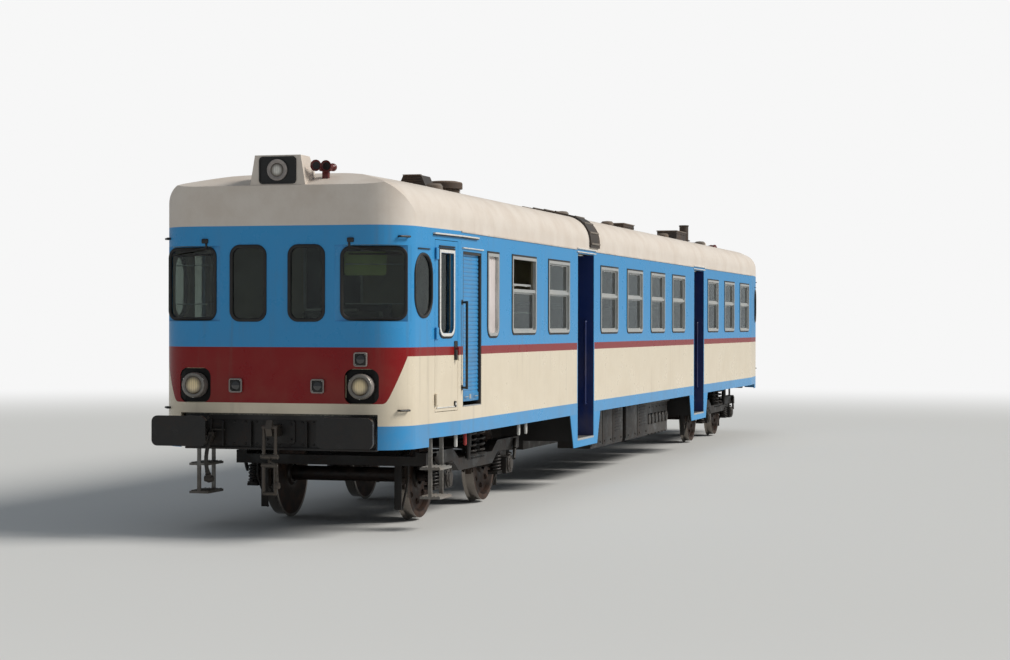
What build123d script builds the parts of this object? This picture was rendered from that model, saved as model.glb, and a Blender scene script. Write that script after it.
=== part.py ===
from build123d import *
from math import atan2, cos, radians, sin, sqrt, tan
import os

os.makedirs("parts", exist_ok=True)

# A diesel railcar with a driving cab at each end, in millimetres.
# +X points at the leading cab, +Y at its left side, +Z up.
# z = 0 is the plane under the wheel flanges. Sizes called height are above the rail top.

# Track and wheels
gauge = 1435
wheel_radius = 460
flange_depth = 28
flange_width = 32
tread_width = 103
wheelbase = 2450
bogie_centres = 15940
rail_z = flange_depth

# Body: straight sides, a tapering cab at each end, a low roof arch and round cornices
body_length = 22680
cab_length = 1590
body_half_width = 1439
nose_narrowing = 139
cornice_height = 3200
cornice_radius = 350
roof_rise = 480
crest_fall = 188
crest_fall_length = 1140
plan_corner_radius = 450
corner_lap = 0.8
wall = 60
skirt_wall = 16
floor_height = 1200
floor_thickness = 60
skirt_height = 942
valance_height = 854
valance_length = 733
fit_gap = 1
moving_gap = 6

crest_height = cornice_height + roof_rise
end_x = body_length / 2
straight_end = end_x - cab_length
end_half_width = body_half_width - nose_narrowing
floor_z = rail_z + floor_height
floor_under_z = floor_z - floor_thickness
skirt_z = rail_z + skirt_height
valance_z = rail_z + valance_height
taper = nose_narrowing / cab_length
taper_length = sqrt(1 + taper**2)
beyond_x = 2 * end_x
beyond_y = 2 * body_half_width
beyond_z = 2 * crest_height

# Entrances, measured at the middle of each recess
entrance_x = 4100
entrance_width = 960
entrance_head = 167
entrance_sill_height = 620
entrance_top_z = rail_z + cornice_height - entrance_head
half_entrance = entrance_width / 2


def block(x, y, z):
    """A box from three (low, high) pairs."""
    size = Box(x[1] - x[0], y[1] - y[0], z[1] - z[0])
    return Pos((x[0] + x[1]) / 2, (y[0] + y[1]) / 2, (z[0] + z[1]) / 2) * size


def along_y(outline, y_low, y_high):
    """A prism across the vehicle from (x, z) corners."""
    face = make_face(Polyline([(x, y_low, z) for x, z in outline], close=True))
    return extrude(face, amount=y_high - y_low, dir=(0, 1, 0))


def along_x(outline, x_low, x_high):
    """A prism along the vehicle from (y, z) corners."""
    face = make_face(Polyline([(x_low, y, z) for y, z in outline], close=True))
    return extrude(face, amount=x_high - x_low, dir=(1, 0, 0))


def along_z(outline, z_low, z_high):
    """An upright prism from (x, y) corners."""
    face = make_face(Polyline([(x, y, z_low) for x, y in outline], close=True))
    return extrude(face, amount=z_high - z_low, dir=(0, 0, 1))


def rod(start, end, radius):
    """A round bar between two points."""
    axis = Vector(*end) - Vector(*start)
    return extrude(Plane(origin=start, z_dir=axis) * Circle(radius), amount=axis.length)


def flip(shape):
    """The same piece on the other side of the vehicle."""
    return mirror(shape, about=Plane.XZ)


def turn_round(shape):
    """The same piece at the other end of the vehicle."""
    return mirror(shape, about=Plane.YZ)


def both_ends(pieces):
    """Pieces of the leading end and the same ones at the rear end."""
    return pieces + [turn_round(piece) for piece in pieces]


def write(name, pieces):
    """One node from pieces that don't touch each other."""
    solids = [solid for piece in pieces for solid in piece.solids()]
    shape = solids[0] if len(solids) == 1 else Compound(solids)
    export_step(shape, "parts/" + name + ".step")


def side_y(x):
    """Half width of the body at a station."""
    return body_half_width - taper * max(0, abs(x) - straight_end)


# Body form. The arch's radius follows from the crest and from its tangent joint with the cornices.
cornice_y = body_half_width - cornice_radius
arch_radius = (cornice_y**2 + roof_rise**2 - cornice_radius**2) / (2 * (roof_rise - cornice_radius))
arch_z = rail_z + crest_height - arch_radius
cornice_z = rail_z + cornice_height
join_angle = atan2(cornice_z - arch_z, cornice_y)
fall_radius = (crest_fall_length**2 + crest_fall**2) / (2 * crest_fall)


def cornice_point(x, inset, angle):
    """A point on the left cornice's arc."""
    radius = cornice_radius - inset
    return (x, cornice_y + radius * cos(angle), cornice_z + radius * sin(angle))


def other_side(point):
    """The point across the vehicle."""
    return (point[0], -point[1], point[2])


def body_section(x, inset, base_z):
    """The closed section of the straight body, moved in by inset."""
    spring = cornice_point(x, inset, 0)
    middle = cornice_point(x, inset, join_angle / 2)
    join = cornice_point(x, inset, join_angle)
    crest = (x, 0, rail_z + crest_height - inset)
    foot = (x, body_half_width - inset, base_z)
    edges = [
        Line(foot, spring),
        ThreePointArc(spring, middle, join),
        ThreePointArc(join, crest, other_side(join)),
        ThreePointArc(other_side(join), other_side(middle), other_side(spring)),
        Line(other_side(spring), other_side(foot)),
        Line(other_side(foot), foot),
    ]
    return make_face(edges)


def cab_side(inset, base_z):
    """The body's half section with its left side and cornice running in along the taper."""
    spring = cornice_point(straight_end, inset, 0)
    middle = cornice_point(straight_end, inset, join_angle / 2)
    join = cornice_point(straight_end, inset, join_angle)
    run = beyond_y / sin(join_angle)
    top = (straight_end, join[1] - run * sin(join_angle), join[2] + run * cos(join_angle))
    foot = (straight_end, body_half_width - inset, base_z)
    far_foot = (straight_end, top[1], base_z)
    edges = [
        Line(foot, spring),
        ThreePointArc(spring, middle, join),
        Line(join, top),
        Line(top, far_foot),
        Line(far_foot, foot),
    ]
    run_dir = (1 / taper_length, -taper / taper_length, 0)
    return extrude(make_face(edges), amount=cab_length * taper_length, dir=run_dir)


def cab_elevation(inset, base_z):
    """The cab's outline from the side, with the crest's fall to the front."""
    radius = fall_radius - inset
    start_x = end_x - crest_fall_length
    centre_z = rail_z + crest_height - fall_radius
    front_x = end_x - inset
    middle_x = (start_x + front_x) / 2

    def on_fall(x):
        return (x, -beyond_y, centre_z + sqrt(radius**2 - (x - start_x) ** 2))

    back_top = (straight_end, -beyond_y, on_fall(start_x)[2])
    back_foot = (straight_end, -beyond_y, base_z)
    front_foot = (front_x, -beyond_y, base_z)
    edges = [
        Line(back_foot, back_top),
        Line(back_top, on_fall(start_x)),
        ThreePointArc(on_fall(start_x), on_fall(middle_x), on_fall(front_x)),
        Line(on_fall(front_x), front_foot),
        Line(front_foot, back_foot),
    ]
    return extrude(make_face(edges), amount=2 * beyond_y, dir=(0, 1, 0))


corner_x = end_x - plan_corner_radius
corner_y = side_y(corner_x) - plan_corner_radius * taper_length + corner_lap
corner_angle = atan2(1, taper)


def corner_point(inset, angle):
    """A point on the round plan corner."""
    radius = plan_corner_radius - inset
    return (corner_x + radius * cos(angle), corner_y + radius * sin(angle), 0)


def corner_cutter(inset):
    """What the left plan corner leaves off the square nose."""
    on_front = corner_point(inset, 0)
    on_flank = corner_point(inset, corner_angle)
    outside_x = end_x + plan_corner_radius
    outside_y = body_half_width + plan_corner_radius
    edges = [
        ThreePointArc(on_front, corner_point(inset, corner_angle / 2), on_flank),
        Line(on_flank, (on_flank[0], outside_y, 0)),
        Line((on_flank[0], outside_y, 0), (outside_x, outside_y, 0)),
        Line((outside_x, outside_y, 0), (outside_x, corner_y, 0)),
        Line((outside_x, corner_y, 0), on_front),
    ]
    return extrude(make_face(edges), amount=beyond_z, dir=(0, 0, 1))


def cab_form(inset, z_low, z_high):
    """The leading cab's upright form between two levels below the cornices."""
    outline = [
        (straight_end, body_half_width - inset),
        (end_x - inset, end_half_width + taper * inset - inset),
        (end_x - inset, -end_half_width - taper * inset + inset),
        (straight_end, -body_half_width + inset),
    ]
    form = along_z(outline, z_low, z_high)
    return form - corner_cutter(inset) - flip(corner_cutter(inset))


def dome_form(inset, base_z):
    """The leading cab's roof form above a level."""
    arch = extrude(body_section(straight_end, inset, base_z), amount=cab_length - inset, dir=(1, 0, 0))
    form = arch & cab_side(inset, base_z) & flip(cab_side(inset, base_z)) & cab_elevation(inset, base_z)
    return form - corner_cutter(inset) - flip(corner_cutter(inset))


# Side planes. A shape drawn on one has its x along the side and its y up.
def on_side(x, height):
    """A plane on the straight left side, its normal pointing in."""
    return Plane(origin=(x, body_half_width, rail_z + height), x_dir=(1, 0, 0), z_dir=(0, -1, 0))


def on_cab_side(x, height):
    """A plane on the tapering left side of the cab, its normal pointing in."""
    origin = (x, side_y(x), rail_z + height)
    return Plane(origin=origin, x_dir=(1, -taper, 0), z_dir=(-taper, -1, 0))


def on_end(y, height):
    """A plane on the flat front, its normal pointing out."""
    return Plane(origin=(end_x, y, rail_z + height), x_dir=(0, 1, 0), z_dir=(1, 0, 0))


def plate(plane, outline, start, end):
    """An outline run along its plane's normal from start to end."""
    return extrude(plane.offset(start) * outline, amount=end - start)


def foot_rounded(width, height, radius):
    """A rectangle whose two corners at the foot are round."""
    outline = Rectangle(width, height)
    return fillet(outline.vertices().sort_by(Axis.Y)[:2], radius)


# Windows of the saloons
window_width = 1060
window_low_height = 2005
window_head = 308
window_corner = 70
window_margin = 680
frame_band = 34
frame_depth = 30
frame_proud = 10
glass_thickness = 8
glass_lap = 12
sash_share = 0.44
sash_bar = 36
window_high_height = cornice_height - window_head
window_height = window_high_height - window_low_height
window_middle = (window_high_height + window_low_height) / 2
narrow_offset = 1230
narrow_width = 442
narrow_low_height = 1976
narrow_corner = 110
narrow_height = window_high_height - narrow_low_height
narrow_middle = (window_high_height + narrow_low_height) / 2
narrow_x = straight_end - narrow_offset
toilet_wall_offset = 480
toilet_wall_x = narrow_x - toilet_wall_offset


def window_row(start_x, direction, first, pitch, end):
    """Window centres from an entrance towards the next one, or towards a wall."""
    room = abs(end - start_x) - first - window_margin
    return [start_x + direction * (first + index * pitch) for index in range(int(room / pitch) + 1)]


# Columns: where the row starts, its direction, first window, pitch, where the row's wall ends
window_centres = []
for start_x, direction, first, pitch, end in (
    (entrance_x, 1, 1440, 1660, toilet_wall_x),
    (entrance_x, -1, 1380, 1668, half_entrance - entrance_x),
    (-entrance_x, -1, 1356, 1710, -straight_end),
):
    window_centres += window_row(start_x, direction, first, pitch, end)

# Luggage shutter and crew door, ahead of the narrow window
shutter_offset = 75
shutter_width = 695
shutter_low_height = 1229
shutter_head = 321
shutter_opened = 72
shutter_recess = 45
shutter_rib_pitch = 75
shutter_rib_depth = 14
shutter_sheet = 12
shutter_high_height = cornice_height - shutter_head
shutter_front_x = straight_end - shutter_offset
shutter_rear_x = shutter_front_x - shutter_width
shutter_x = (shutter_front_x + shutter_rear_x) / 2
shutter_height = shutter_high_height - shutter_low_height
shutter_middle = (shutter_high_height + shutter_low_height) / 2
crew_door_offset = 79
crew_door_width = 630
crew_door_low_height = 1200
crew_door_head = 225
crew_door_high_height = cornice_height - crew_door_head
crew_door_rear_x = straight_end + crew_door_offset
crew_door_front_x = crew_door_rear_x + crew_door_width
crew_door_x = (crew_door_front_x + crew_door_rear_x) / 2
crew_door_height = crew_door_high_height - crew_door_low_height
crew_door_middle = (crew_door_high_height + crew_door_low_height) / 2

# Side walls, three panels a side between and beyond the entrances
window_outline = foot_rounded(window_width, window_height, window_corner)
narrow_outline = foot_rounded(narrow_width, narrow_height, narrow_corner)
shutter_outline = Rectangle(shutter_width, shutter_height)
wall_profile = [
    (body_half_width, skirt_z),
    (body_half_width, entrance_top_z),
    (body_half_width - wall, entrance_top_z),
    (body_half_width - wall, floor_under_z),
    (body_half_width - skirt_wall, floor_under_z),
    (body_half_width - skirt_wall, skirt_z),
]
wall_left = along_x(wall_profile, -straight_end, straight_end)
for x in window_centres:
    wall_left -= plate(on_side(x, window_middle), window_outline, -wall, 2 * wall)
wall_left -= plate(on_side(narrow_x, narrow_middle), narrow_outline, -wall, 2 * wall)
wall_left -= plate(on_side(shutter_x, shutter_middle), shutter_outline, -wall, 2 * wall)
for x in (entrance_x, -entrance_x):
    wall_left -= block((x - half_entrance, x + half_entrance), (0, beyond_y), (0, beyond_z))
write("side_walls", [wall_left, flip(wall_left)])

# Roof: the long arch and a domed end over each cab
roof_outer = extrude(body_section(-straight_end, 0, entrance_top_z), amount=2 * straight_end, dir=(1, 0, 0))
roof_inner = extrude(body_section(-straight_end, wall, valance_z), amount=2 * straight_end, dir=(1, 0, 0))
roof = roof_outer - roof_inner
dome_outer = dome_form(0, entrance_top_z)
dome = dome_outer - dome_form(wall, valance_z)
write("roof", [roof])
write("roof_domes", both_ends([dome]))

# Cab openings
pill_offset = 586
pill_width = 464
pill_low_height = 2163
pill_head = 372
pill_high_height = cornice_height - pill_head
pill_x = end_x - pill_offset
pill_height = pill_high_height - pill_low_height
pill_middle = (pill_high_height + pill_low_height) / 2
pill_band = 30
pill_corner = (min(pill_width, pill_height) - pill_band) / 2
pill_outline = RectangleRounded(pill_width, pill_height, pill_corner)
screen_inner_y = 615
screen_outer_y = 1350
screen_inner_back = 4
screen_outer_back = 276
screen_low_height = 2130
screen_head = 310
screen_high_height = cornice_height - screen_head
screen_width = 700
screen_band = 52
screen_corner = 85
screen_thickness = 36
screen_inner_x = end_x - screen_inner_back
screen_outer_x = end_x - screen_outer_back
screen_slope = atan2(screen_inner_x - screen_outer_x, screen_outer_y - screen_inner_y)
screen_low_z = rail_z + screen_low_height
screen_high_z = rail_z + screen_high_height
screen_hole_width = screen_width - 2 * screen_band
screen_hole_height = screen_high_height - screen_low_height - 2 * screen_band
centre_screen_y = 312
centre_screen_width = 400
centre_screen_low_height = 2125
centre_screen_head = 300
centre_screen_high_height = cornice_height - centre_screen_head
centre_screen_corner = 110
centre_screen_band = 35
centre_screen_height = centre_screen_high_height - centre_screen_low_height
centre_screen_middle = (centre_screen_high_height + centre_screen_low_height) / 2
centre_outline = RectangleRounded(centre_screen_width, centre_screen_height, centre_screen_corner)
lamp_y = 892
lamp_height = 1484
lamp_radius = 127
lamp_pocket_size = 350
lamp_pocket_corner = 90
lamp_back = 12
opening_half = 1056
opening_top_height = 1206
opening_depth = 400
screen_plane = Plane(
    origin=(
        (screen_inner_x + screen_outer_x) / 2,
        (screen_inner_y + screen_outer_y) / 2,
        (screen_low_z + screen_high_z) / 2,
    ),
    x_dir=(-sin(screen_slope), cos(screen_slope), 0),
    z_dir=(cos(screen_slope), sin(screen_slope), 0),
)


def screen_strip(depth):
    """The plan of an outer windscreen's recess, run back by depth behind the seal's face."""
    back_x = depth * cos(screen_slope)
    back_y = depth * sin(screen_slope)
    return [
        (screen_inner_x - back_x, screen_inner_y - back_y),
        (screen_inner_x, screen_inner_y),
        (end_x + wall, screen_inner_y),
        (end_x + wall, screen_outer_y + wall),
        (screen_outer_x, screen_outer_y + wall),
        (screen_outer_x, screen_outer_y),
        (screen_outer_x - back_x, screen_outer_y - back_y),
    ]


crew_door_outline = Rectangle(crew_door_width, crew_door_height)
crew_door_hole = plate(on_cab_side(crew_door_x, crew_door_middle), crew_door_outline, -wall, 2 * wall)
screen_through = Rectangle(screen_hole_width + screen_band, screen_hole_height + screen_band)
lamp_pocket = RectangleRounded(lamp_pocket_size, lamp_pocket_size, lamp_pocket_corner)


def cab_shell(with_crew_door):
    """One cab's walls, up to the top of the entrances."""
    cab = cab_form(0, valance_z, entrance_top_z)
    cab -= cab_form(wall, floor_under_z, beyond_z)
    cab -= cab_form(skirt_wall, 0, floor_under_z)
    cab -= block((0, end_x - valance_length), (-beyond_y, beyond_y), (0, skirt_z))
    under_front = (end_x - opening_depth, beyond_x)
    cab -= block(under_front, (-opening_half, opening_half), (0, rail_z + opening_top_height))
    for place in (lambda shape: shape, flip):
        cab -= place(plate(on_cab_side(pill_x, pill_middle), pill_outline, -wall, 2 * wall))
        cab -= place(along_z(screen_strip(screen_thickness), screen_low_z, screen_high_z))
        cab -= place(plate(screen_plane, screen_through, -4 * wall, 0))
        cab -= place(plate(on_end(centre_screen_y, centre_screen_middle), centre_outline, -2 * wall, wall))
        cab -= place(plate(on_end(lamp_y, lamp_height), lamp_pocket, lamp_back - wall, wall))
        if with_crew_door:
            cab -= place(crew_door_hole)
    return cab


write("cab_shells", [cab_shell(True), turn_round(cab_shell(False))])

# Crew door: one thick leaf with a tall framed window, three hinges and a handle
crew_leaf_thickness = 42
crew_window_width = 415
crew_window_low_height = 1978
crew_window_head = 325
crew_window_corner = 110
crew_hinge_stand = 17
crew_hinge_radius = 11
crew_hinge_half = 60
crew_hinge_strap = 90
crew_hinge_low = 130
crew_hinge_middle = 810
crew_hinge_top = 145
crew_strap_thickness = 12
crew_handle_offset = 76
crew_handle_height = 1850
crew_handle_radius = 14
crew_handle_stand = 45
crew_handle_grip = 140
crew_window_high_height = cornice_height - crew_window_head
crew_window_height = crew_window_high_height - crew_window_low_height
crew_window_middle = (crew_window_high_height + crew_window_low_height) / 2
crew_leaf_outline = Rectangle(crew_door_width - 2 * moving_gap, crew_door_height - 2 * moving_gap)
crew_frame_outline = foot_rounded(crew_window_width, crew_window_height, crew_window_corner)
crew_glass_outline = foot_rounded(
    crew_window_width - 2 * frame_band, crew_window_height - 2 * frame_band, crew_window_corner - frame_band
)
crew_pane_outline = Rectangle(crew_window_width - 2 * glass_lap, crew_window_height - 2 * glass_lap)
crew_window_plane = on_cab_side(crew_door_x, crew_window_middle)
crew_leaf = plate(on_cab_side(crew_door_x, crew_door_middle), crew_leaf_outline, 0, crew_leaf_thickness)
crew_leaf += plate(crew_window_plane, crew_frame_outline, -frame_proud, crew_leaf_thickness / 2)
crew_leaf -= plate(crew_window_plane, crew_glass_outline, -wall, wall)
crew_leaf -= plate(crew_window_plane, crew_pane_outline, crew_leaf_thickness - glass_thickness, wall)
crew_hinge_y = side_y(crew_door_front_x) + crew_hinge_stand
crew_hinge_heights = (
    crew_door_low_height + crew_hinge_low,
    crew_door_low_height + crew_hinge_middle,
    crew_door_high_height - crew_hinge_top,
)
for height in crew_hinge_heights:
    low_z = rail_z + height - crew_hinge_half
    high_z = rail_z + height + crew_hinge_half
    hinge_foot = (crew_door_front_x, crew_hinge_y, low_z)
    crew_leaf += rod(hinge_foot, (crew_door_front_x, crew_hinge_y, high_z), crew_hinge_radius)
    strap = along_z(
        [
            (crew_door_front_x - crew_hinge_strap, side_y(crew_door_front_x - crew_hinge_strap) - fit_gap),
            (crew_door_front_x - crew_hinge_strap, crew_hinge_y),
            (crew_door_front_x, crew_hinge_y),
            (crew_door_front_x, crew_hinge_y - crew_strap_thickness + crew_hinge_radius / 2),
            (crew_door_front_x - 2 * moving_gap, side_y(crew_door_front_x) - fit_gap),
        ],
        low_z,
        high_z,
    )
    crew_leaf += strap
crew_handle_x = crew_door_rear_x + crew_handle_offset
crew_handle_y = side_y(crew_handle_x)
crew_handle_z = rail_z + crew_handle_height
crew_leaf += rod(
    (crew_handle_x, crew_handle_y - fit_gap, crew_handle_z),
    (crew_handle_x, crew_handle_y + crew_handle_stand, crew_handle_z),
    crew_handle_radius,
)
crew_leaf += block(
    (crew_handle_x - crew_handle_radius, crew_handle_x + crew_handle_radius),
    (crew_handle_y + crew_handle_stand - crew_handle_radius, crew_handle_y + crew_handle_stand),
    (crew_handle_z - crew_handle_grip + crew_handle_radius, crew_handle_z + crew_handle_radius),
)
crew_pane = plate(
    crew_window_plane, crew_pane_outline, crew_leaf_thickness - glass_thickness, crew_leaf_thickness
)
write("crew_door_left", [crew_leaf])
write("crew_door_right", [flip(crew_leaf)])
write("crew_door_glass_left", [crew_pane])
write("crew_door_glass_right", [flip(crew_pane)])

# Passenger doors: two leaves fold inwards about a hinge at the rear of each entrance
recess_depth = 260
cheek = 28
leaf_thickness = 34
leaf_stile = 90
leaf_pane = 6
leaf_glass_low_height = 1500
leaf_glass_head = 350
leaf_pin_radius = 8
leaf_pin_offset = 14
barrel_radius = 5
barrel_stand = 8
barrel_half = 60
barrel_low = 280
barrel_middle = 1180
barrel_top = 133
barrel_strap = 24
barrel_strap_thickness = 3
leaf_free_gap = 11
leaf_top_z = entrance_top_z - moving_gap
leaf_low_z = rail_z + entrance_sill_height + moving_gap
leaf_outer_y = body_half_width - recess_depth
leaf_inner_y = leaf_outer_y - leaf_thickness
leaf_run = entrance_width / 2 - cheek
barrel_places = (
    rail_z + entrance_sill_height + barrel_low,
    rail_z + entrance_sill_height + barrel_middle,
    entrance_top_z - barrel_top,
)


def leaf(x_low, x_high):
    """One door leaf with a thin pane in its tall opening."""
    panel = block((x_low, x_high), (leaf_inner_y, leaf_outer_y), (leaf_low_z, leaf_top_z))
    hole_x = (x_low + leaf_stile, x_high - leaf_stile)
    hole_z = (rail_z + leaf_glass_low_height, rail_z + cornice_height - leaf_glass_head)
    pane_y = (leaf_inner_y + leaf_outer_y - leaf_pane) / 2
    panel -= block(hole_x, (leaf_inner_y - wall, pane_y), hole_z)
    panel -= block(hole_x, (pane_y + leaf_pane, leaf_outer_y + wall), hole_z)
    return panel


for number, x in ((1, entrance_x), (2, -entrance_x)):
    rear = x - leaf_run
    pin_x = rear + leaf_pin_offset
    fold_x = rear + leaf_run
    first = leaf(pin_x - barrel_radius, fold_x - moving_gap / 2)
    first += rod((pin_x, leaf_inner_y, leaf_low_z), (pin_x, leaf_inner_y, leaf_top_z), leaf_pin_radius)
    second = leaf(fold_x + moving_gap / 2, rear + 2 * leaf_run - leaf_free_gap)
    barrel_y = leaf_outer_y + barrel_stand
    for barrel_z in barrel_places:
        low_z = barrel_z - barrel_half
        high_z = barrel_z + barrel_half
        second += rod((fold_x, barrel_y, low_z), (fold_x, barrel_y, high_z), barrel_radius)
        strap = along_z(
            [
                (fold_x, barrel_y),
                (fold_x, barrel_y - barrel_strap_thickness),
                (fold_x + moving_gap / 2, leaf_outer_y - fit_gap),
                (fold_x + barrel_strap, leaf_outer_y - fit_gap),
                (fold_x + barrel_strap, leaf_outer_y + barrel_strap_thickness),
            ],
            low_z,
            high_z,
        )
        second += strap
    for side, place in (("left", lambda shape: shape), ("right", flip)):
        write("door_" + side + "_" + str(number) + "_leaf_a", [place(first)])
        write("door_" + side + "_" + str(number) + "_leaf_b", [place(second)])

# Entrance wells: cheeks, treads and the apron below the skirt
well_bottom_height = 515
well_top_half = 840
well_bottom_half = 660
landing_half = 420
tread_depth = 260
cheek_lap = 40
well_z = rail_z + well_bottom_height
sill_z = rail_z + entrance_sill_height
tread_rise = (floor_z - sill_z) / 2
wells = []
for x in (entrance_x, -entrance_x):
    front = x + half_entrance
    back = x - half_entrance
    profile = [
        (body_half_width, well_z),
        (body_half_width, sill_z),
        (landing_half + tread_depth, sill_z),
        (landing_half + tread_depth, sill_z + tread_rise),
        (landing_half, sill_z + tread_rise),
        (landing_half, floor_z),
        (landing_half - cheek, floor_z),
        (landing_half - cheek, sill_z + tread_rise - cheek),
        (landing_half + tread_depth - cheek, sill_z + tread_rise - cheek),
        (landing_half + tread_depth - cheek, sill_z - cheek),
        (body_half_width - skirt_wall, sill_z - cheek),
        (body_half_width - skirt_wall, well_z),
    ]
    well = along_x(profile, back, front)
    for edge in (back, front - cheek):
        span = (edge, edge + cheek)
        well += block(span, (leaf_inner_y - cheek_lap, body_half_width), (sill_z - cheek, entrance_top_z))
        well += block(span, (landing_half, body_half_width), (sill_z - cheek, floor_z))
    apron = [
        (x - well_bottom_half, well_z),
        (x + well_bottom_half, well_z),
        (x + well_top_half, skirt_z),
        (x - well_top_half, skirt_z),
    ]
    well += along_y(apron, body_half_width - skirt_wall, body_half_width) - block(
        (back, front), (0, beyond_y), (sill_z, beyond_z)
    )
    wells += [well, flip(well)]
write("entrance_wells", wells)

# Floor, cut round the entrance wells
floor_half = body_half_width - wall - fit_gap
floor = block((-straight_end, straight_end), (-floor_half, floor_half), (floor_under_z, floor_z))
cab_floor = cab_form(wall + fit_gap, floor_under_z, floor_z)
floor += cab_floor + turn_round(cab_floor)
notch_y = landing_half - cheek - fit_gap
for x in (entrance_x, -entrance_x):
    notch = block(
        (x - half_entrance - fit_gap, x + half_entrance + fit_gap), (notch_y, beyond_y), (0, beyond_z)
    )
    floor -= notch + flip(notch)
write("floor", [floor])

# Underframe: sole bars with cross bearers and bolsters between them, and a headstock at each end
member_depth = 130
sole_width = 90
sole_gap = 49
bearer_width = 80
bolster_width = 440
bearer_pitch = 1180
draft_sill_y = 280
draft_sill_width = 80
headstock_back = 190
headstock_thickness = 110
headstock_margin = 30
headstock_low_height = 860
sole_margin = 50
member_z = (floor_under_z - member_depth, floor_under_z)
headstock_x = end_x - headstock_back
headstock_face_x = headstock_x + headstock_thickness
sole_y = body_half_width - wall - sole_gap - sole_width
members = []
entrance_bearer = half_entrance + bearer_width
well_clear = half_entrance + fit_gap
for side in (1, -1):
    bar = sorted((side * sole_y, side * (sole_y + sole_width)))
    runs = (
        (-straight_end + sole_margin, -entrance_x - well_clear),
        (-entrance_x + well_clear, entrance_x - well_clear),
        (entrance_x + well_clear, straight_end - sole_margin),
    )
    for run in runs:
        members.append(block(run, bar, member_z))
bearer_reach = sole_y - fit_gap
bearer_rows = [
    (bogie_centres / 2, bolster_width),
    (entrance_x + entrance_bearer, bearer_width),
    (entrance_x - entrance_bearer, bearer_width),
    (2 * bearer_pitch, bearer_width),
    (bearer_pitch, bearer_width),
    (straight_end - sole_margin - bearer_width, bearer_width),
]
for x, width in bearer_rows:
    for place in (x, -x):
        span = (place - width / 2, place + width / 2)
        members.append(block(span, (-bearer_reach, bearer_reach), member_z))
members.append(block((-bearer_width / 2, bearer_width / 2), (-bearer_reach, bearer_reach), member_z))
headstock = block(
    (headstock_x, headstock_face_x),
    (headstock_margin - opening_half, opening_half - headstock_margin),
    (rail_z + headstock_low_height, floor_under_z),
)
for side in (1, -1):
    sill = sorted((side * draft_sill_y, side * (draft_sill_y + draft_sill_width)))
    headstock += block((straight_end - sole_margin, headstock_x), sill, member_z)
write("underframe", members + both_ends([headstock]))

# Pivots under the bolsters
pivot_radius = 110
pivot_low_height = 640
pivot_foot = (bogie_centres / 2, 0, rail_z + pivot_low_height)
pivot = rod(pivot_foot, (bogie_centres / 2, 0, member_z[0]), pivot_radius)
write("bogie_pivots", both_ends([pivot]))

# Window frames and panes. The pane behind the lowered sash of the first window on the left is left out.
frames = []
panes = []
opening_width = window_width - 2 * frame_band
opening_height = window_height - 2 * frame_band
window_opening = foot_rounded(opening_width, opening_height, window_corner - frame_band)
bar_height = window_high_height - frame_band - sash_share * opening_height
bar_z = (rail_z + bar_height - sash_bar / 2, rail_z + bar_height + sash_bar / 2)
pane_y = (body_half_width - frame_depth - glass_thickness, body_half_width - frame_depth)
pane_low_z = rail_z + window_low_height + frame_band - glass_lap
pane_high_z = rail_z + window_high_height - frame_band + glass_lap
open_window_x = window_centres[1]


def frame_ring(plane, outline, opening):
    """A window's frame, standing a little proud of the wall."""
    ring = plate(plane, outline, -frame_proud, frame_depth)
    return ring - plate(plane, opening, -2 * frame_proud, 2 * frame_depth)


for x in window_centres:
    ring = frame_ring(on_side(x, window_middle), window_outline, window_opening)
    inner_x = (x - opening_width / 2, x + opening_width / 2)
    ring += block(inner_x, (body_half_width - frame_depth, body_half_width), bar_z)
    glass_x = (inner_x[0] - glass_lap, inner_x[1] + glass_lap)
    pane = block(glass_x, pane_y, (pane_low_z, pane_high_z))
    if x == open_window_x:
        panes.append(block(glass_x, pane_y, (pane_low_z, bar_z[1])))
        write("open_window_frame", [ring])
    else:
        panes.append(pane)
        frames.append(ring)
    panes.append(flip(pane))
    frames.append(flip(ring))
narrow_opening_width = narrow_width - 2 * frame_band
narrow_opening_height = narrow_height - 2 * frame_band
narrow_opening = foot_rounded(narrow_opening_width, narrow_opening_height, narrow_corner - frame_band)
ring = frame_ring(on_side(narrow_x, narrow_middle), narrow_outline, narrow_opening)
pane_plane = on_side(narrow_x, narrow_middle)
pane = plate(pane_plane, narrow_opening, frame_depth, frame_depth + glass_thickness)
frames += [ring, flip(ring)]
panes += [pane, flip(pane)]
write("window_frames", frames)
write("window_glass", panes)

# Windscreens and their rubber. Each pane sits behind its seal.
seal_proud = 12
seal_depth = 30
pane_lap = 3
pill_chamfer = 95
centre_chamfer = 40
seals = []
screens = []
screen_band_outline = Rectangle(beyond_y, screen_high_height - screen_low_height)
outer_seal = plate(screen_plane, screen_band_outline, -screen_thickness, 0)
outer_seal &= along_z(screen_strip(screen_thickness), screen_low_z, screen_high_z)
outer_seal &= cab_form(0, screen_low_z, screen_high_z)
outer_seal -= plate(
    screen_plane, RectangleRounded(screen_hole_width, screen_hole_height, screen_corner), -wall, wall
)
outer_pane = plate(
    screen_plane,
    Rectangle(screen_hole_width + 2 * glass_lap, screen_hole_height + 2 * glass_lap),
    -screen_thickness - glass_thickness,
    -screen_thickness,
)
centre_plane = on_end(centre_screen_y, centre_screen_middle)
centre_hole_width = centre_screen_width - 2 * centre_screen_band
centre_hole_height = centre_screen_height - 2 * centre_screen_band
centre_hole_corner = centre_screen_corner - centre_screen_band
centre_hole = RectangleRounded(centre_hole_width, centre_hole_height, centre_hole_corner)
centre_seal = plate(centre_plane, centre_outline, -seal_depth, seal_proud) - plate(
    centre_plane, centre_hole, -wall, wall
)
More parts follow.
